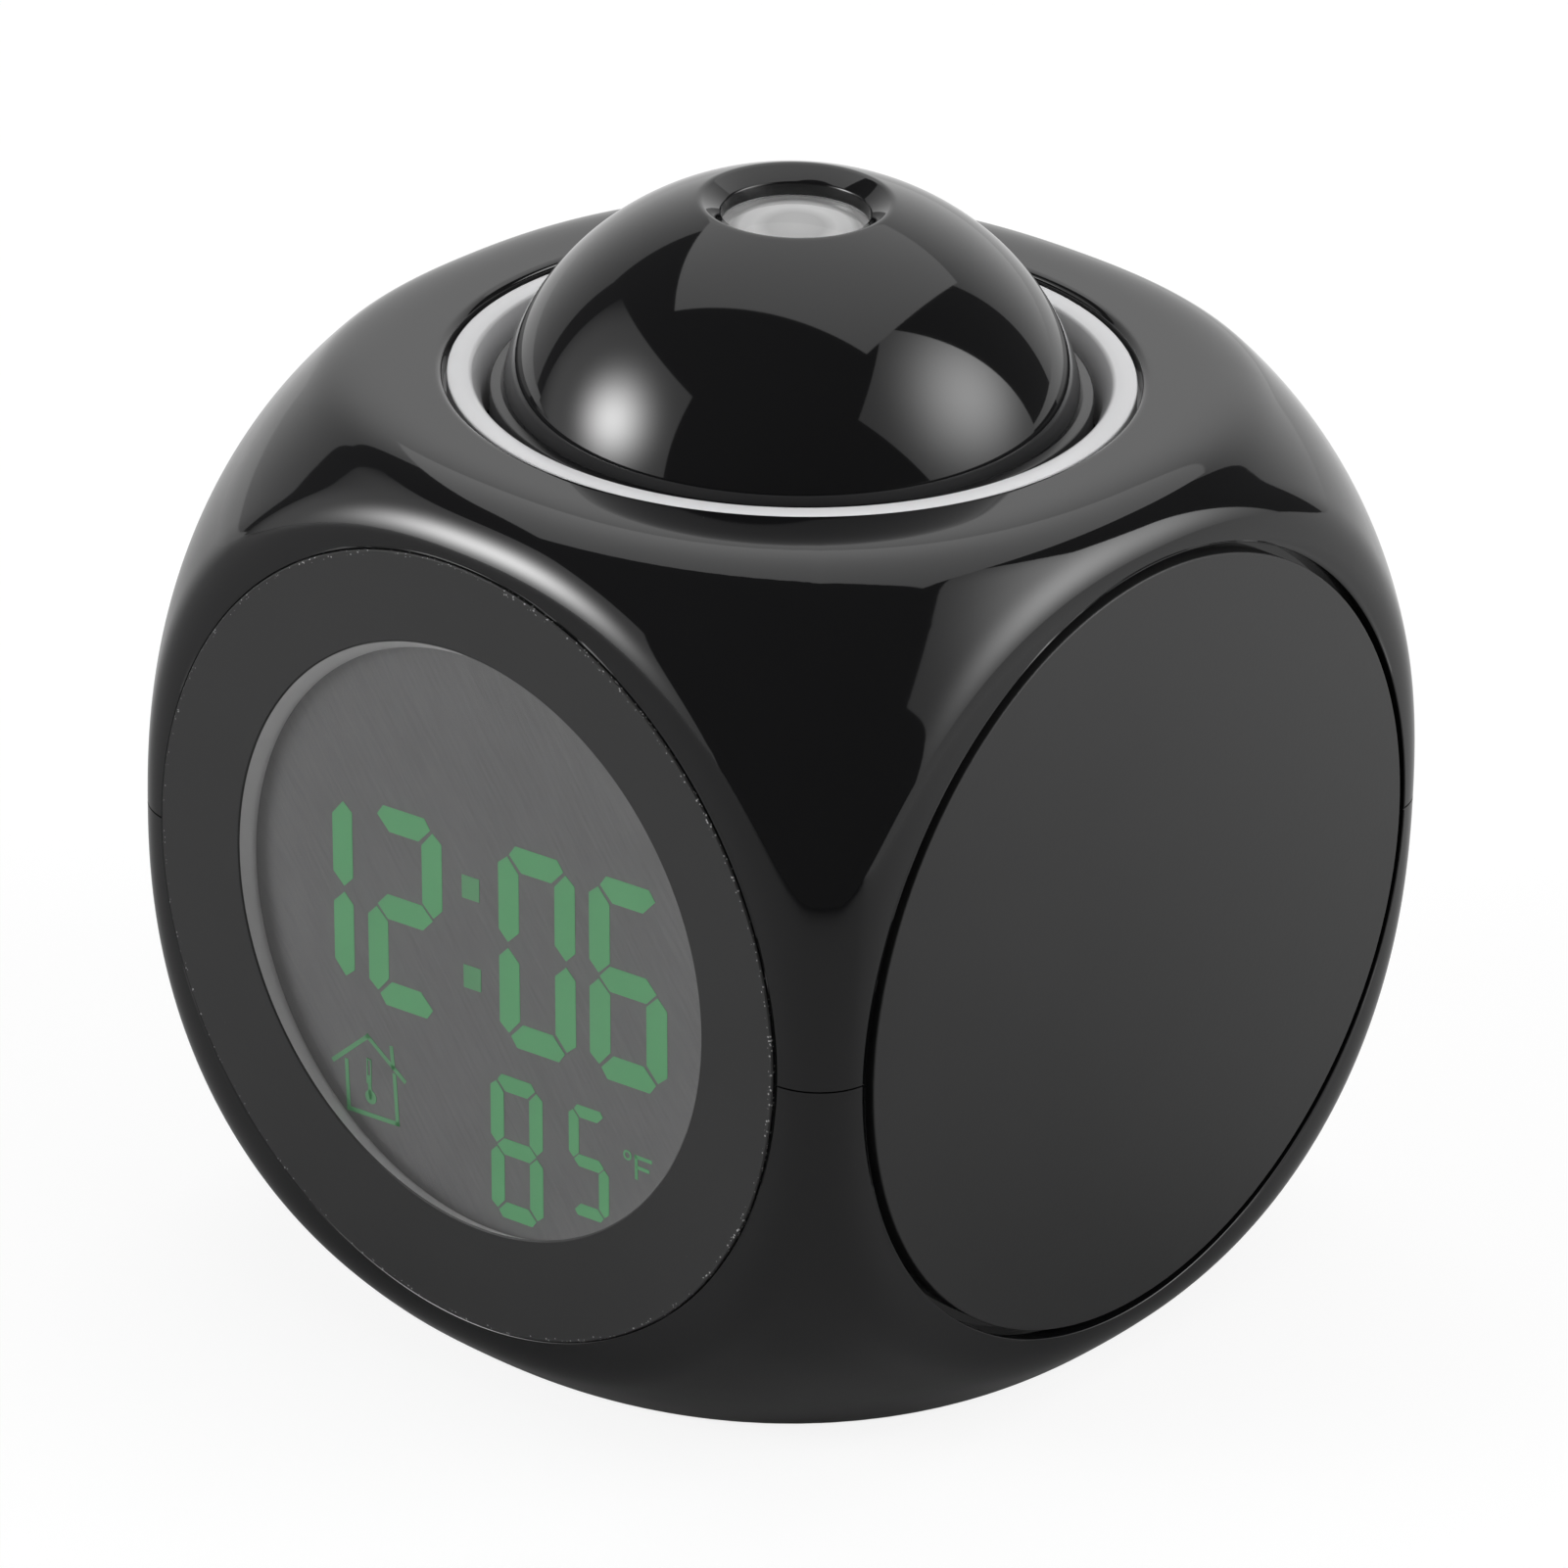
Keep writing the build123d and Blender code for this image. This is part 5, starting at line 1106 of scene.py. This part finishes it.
outline = dome_arc(0, DOME_SEAT, RIM_RADIUS)
rim_top = outline[-1][1]
eye_end = rim_top - EYE_DEPTH
profile = outline + [(EYE_RADIUS, rim_top - EYE_FUNNEL), (EYE_RADIUS, eye_end), (BOSS_BORE, eye_end),
                     (BOSS_BORE, eye_end - BOSS_DEPTH), (BOSS_OUTER, eye_end - BOSS_DEPTH)]
profile += dome_arc(DOME_WALL, DOME_SEAT, BOSS_OUTER)[::-1]
dome = turned(profile, steps=FINE_STEPS)
soften(dome, RIM_RADIUS, rim_top, RIM_SOFT, RIM_SOFT_STEPS)
soften(dome, EYE_RADIUS, rim_top - EYE_FUNNEL, EYE_SOFT)
to_piece(dome, "dome_shell", "gloss_black", body="dome_key", replaces="dome_cap")

# %% [markdown]
# The projection lens fills the eye of the dome: a thick disc of glass, flat below and bulged above.
# It is a solid and not a surface, because light bends where it goes in and where it comes out. Its
# flat back has pale and grey rings: painted reflections of the lamps. A thin metal ring lies round it.

# %% Lens and its ring
LENS_BASE, LENS_EDGE_TOP, LENS_CROWN = 102.2, 104.25, 1.15
LENS_RING = (6.98, 8.4, 103.6, 104.0)  # inner and outer radius, underside and top
LENS_POINTS = 12


def lens_profile():
    """Flat below, an arc above, through the crown's height on the axis."""
    ball = (LENS_RADIUS ** 2 + LENS_CROWN ** 2) / (2 * LENS_CROWN)
    sweep = math.asin(LENS_RADIUS / ball)
    arc = [(ball * math.sin(sweep * n / LENS_POINTS), ball * (math.cos(sweep * n / LENS_POINTS) - 1))
           for n in range(LENS_POINTS, 0, -1)]
    top = LENS_EDGE_TOP + LENS_CROWN
    crown = [(radius, top + drop) for radius, drop in arc]
    return [(0, LENS_BASE), (LENS_RADIUS, LENS_BASE), *crown, (0, top)]


lens = turned(lens_profile(), steps=FINE_STEPS)
for face in lens.faces:
    if max(point.co.z for point in face.verts) < LENS_BASE + NEAR:
        face.material_index = 1
to_piece(lens, "clear_lens", "lens_clear", body="dome_key", replaces="projection_lens", second=lens_back_painted)
to_piece(tube(*LENS_RING, FINE_STEPS), "lens_ring", "retainer_grey", body="dome_key",
         replaces="lens_retainer")

# %% [markdown]
# The white ring round the dome is a band with a short cone inside it, and below it a skirt that
# guides the dome and a flange that holds the ring in the housing. It is turned in one go, with small
# roundings where light would catch.

# %% Trim ring
RING_TOP, RING_OUTER, RING_BAND_INNER = 89.1, 32.35, 30.1
RING_SOFT_OUTER, RING_SOFT_INNER = 0.2, 0.3
THROAT, CONE_FOOT = 29.15, 87.3
SKIRT_OUTER, SKIRT_BOTTOM = 30.65, 82.1
FLANGE_RADIUS, FLANGE_TOP, FLANGE_BOTTOM = 34.3, 86.9, 85.0

ring = turned([(THROAT, SKIRT_BOTTOM), (SKIRT_OUTER, SKIRT_BOTTOM), (SKIRT_OUTER, FLANGE_BOTTOM),
               (FLANGE_RADIUS, FLANGE_BOTTOM), (FLANGE_RADIUS, FLANGE_TOP), (RING_OUTER, FLANGE_TOP),
               (RING_OUTER, RING_TOP), (RING_BAND_INNER, RING_TOP), (THROAT, CONE_FOOT)],
              steps=FINE_STEPS)
soften(ring, RING_OUTER, RING_TOP, RING_SOFT_OUTER)
soften(ring, RING_BAND_INNER, RING_TOP, RING_SOFT_INNER)
to_piece(ring, "white_ring", "ring_white", replaces="trim_ring")
print("ring stands", round(RING_TOP - (MIDDLE + FLAT_TOP), 2), "mm from the top flat")

# %% [markdown]
# The dome stands on a black cup, whose edge shows as a narrow ledge in the ring's throat, with a fine
# gap round it. Inside, a thin rim centres the dome. Under the cup are three pins that the springs
# go over and the plunger that works the switch, each turned and copied to its place.

# %% Collar of the dome
COLLAR_RADIUS, COLLAR_SEAT, COLLAR_FLANGE, COLLAR_FLANGE_TOP = 28.35, 87.85, 30.3, 81.8
COLLAR_BOTTOM, COLLAR_FLOOR, COLLAR_BORE, COLLAR_SOFT = 80.0, 82.0, 25.4, 0.25
LOCATING_TOP, LOCATING_OUTER, LOCATING_INNER, LOCATING_STEP = 89.7, 24.5, 23.5, 1
PIN_COUNT, PIN_PLACE, PIN_RADIUS, PIN_END = 3, 22.0, 1.6, 78.5
PLUNGER_RADIUS, PLUNGER_END = 1.6, 78.2


def places_round(count, radius, middle=(0, 0)):
    """Places evenly spaced on a circle."""
    turns = [2 * math.pi * n / count for n in range(count)]
    return [(middle[0] + radius * math.cos(turn), middle[1] + radius * math.sin(turn)) for turn in turns]


bore_top = COLLAR_SEAT - 2 * LOCATING_STEP
collar = turned([(0, COLLAR_BOTTOM), (COLLAR_FLANGE, COLLAR_BOTTOM), (COLLAR_FLANGE, COLLAR_FLANGE_TOP),
                 (COLLAR_RADIUS, COLLAR_FLANGE_TOP), (COLLAR_RADIUS, COLLAR_SEAT),
                 (LOCATING_OUTER, COLLAR_SEAT), (LOCATING_OUTER, LOCATING_TOP),
                 (LOCATING_INNER, LOCATING_TOP), (LOCATING_INNER, COLLAR_SEAT - LOCATING_STEP),
                 (COLLAR_BORE, bore_top), (COLLAR_BORE, COLLAR_FLOOR), (0, COLLAR_FLOOR)],
                steps=FINE_STEPS)
soften(collar, COLLAR_RADIUS, COLLAR_SEAT, COLLAR_SOFT)
add_copies(collar, tube(0, PIN_RADIUS, PIN_END, COLLAR_BOTTOM), places_round(PIN_COUNT, PIN_PLACE))
add_copies(collar, tube(0, PLUNGER_RADIUS, PLUNGER_END, COLLAR_BOTTOM))
to_piece(collar, "dome_collar", "gloss_black", body="dome_key", replaces="dome_carrier",
         finish=collar_black)

# %% [markdown]
# The rear panel is a disc pierced for the speaker, the four keys and the switch. Booleans could drill
# each hole, but they leave untidy faces. So the outline and every hole start as circles, one fill
# joins them into a face, and the face is given its thickness.

# %% Rear panel
REAR_FACE, REAR_BACK, REAR_SPIGOT_END = 44.2, 42.2, 38.7
KEY_HOLE, KEY_PLACES, KEY_ROW = 3.4, (-21.0, -7.0, 7.0, 21.0), -12.0
SLOT_HALVES, SLOT_ROW = (4.4, 1.9), -22.0
GRILLE_HOLE, GRILLE_PITCH, GRILLE_ROW = 1.1, 4.2, 14.0
GRILLE_RINGS = {0: 1, 1: 6, 2: 12}  # holes in each ring, counted from the middle
POST_PLACES = [(x, y) for x in (-22.0, 22.0) for y in (-4.0, -20.0)]
POST_RADIUS, POST_BORE, POST_END = 1.9, 0.8, 36.0
GRILLE_STEPS = 24


def round_hole(bm, radius, place, steps=TUBE_STEPS):
    """The outline of a round hole in the panel's face."""
    points = bmesh.ops.create_circle(bm, segments=steps, radius=radius)["verts"]
    bmesh.ops.translate(bm, vec=(*place, REAR_FACE), verts=points)


def slot_hole(bm, half_x, half_y, place):
    """The outline of a slot with sharp corners."""
    before = set(bm.verts)
    made = bmesh.ops.create_grid(bm, x_segments=1, y_segments=1, size=1.0)["verts"]
    bmesh.ops.scale(bm, vec=(half_x, half_y, 1), verts=made)
    bmesh.ops.translate(bm, vec=(*place, REAR_FACE), verts=made)
    faces = [face for face in bm.faces if not before & set(face.verts)]
    bmesh.ops.delete(bm, geom=faces, context="FACES_ONLY")


def rear_disc():
    """The pierced disc with its spigot and its screw posts."""
    bm = bmesh.new()
    slot_hole(bm, *SLOT_HALVES, (0, SLOT_ROW))
    round_hole(bm, PLATE_RADIUS, (0, 0), FINE_STEPS)
    for x in KEY_PLACES:
        round_hole(bm, KEY_HOLE, (x, KEY_ROW))
    for row, count in GRILLE_RINGS.items():
        for place in places_round(count, GRILLE_PITCH * row, (0, GRILLE_ROW)):
            round_hole(bm, GRILLE_HOLE, place, GRILLE_STEPS)
    bmesh.ops.triangle_fill(bm, edges=bm.edges, use_beauty=True)
    made = bmesh.ops.extrude_face_region(bm, geom=list(bm.faces))["geom"]
    back = [item for item in made if isinstance(item, bmesh.types.BMVert)]
    bmesh.ops.translate(bm, vec=(0, 0, REAR_BACK - REAR_FACE), verts=back)
    bmesh.ops.recalc_face_normals(bm, faces=bm.faces)
    soften(bm, PLATE_RADIUS, REAR_FACE, PLATE_BEVEL)
    add_copies(bm, tube(SPIGOT_INNER, SPIGOT_OUTER, REAR_SPIGOT_END, REAR_BACK, FINE_STEPS))
    add_copies(bm, tube(POST_BORE, POST_RADIUS, POST_END, REAR_BACK), POST_PLACES)
    return lay_on(bm, "rear")


to_piece(rear_disc(), "rear_disc", "satin_black", replaces="rear_panel")
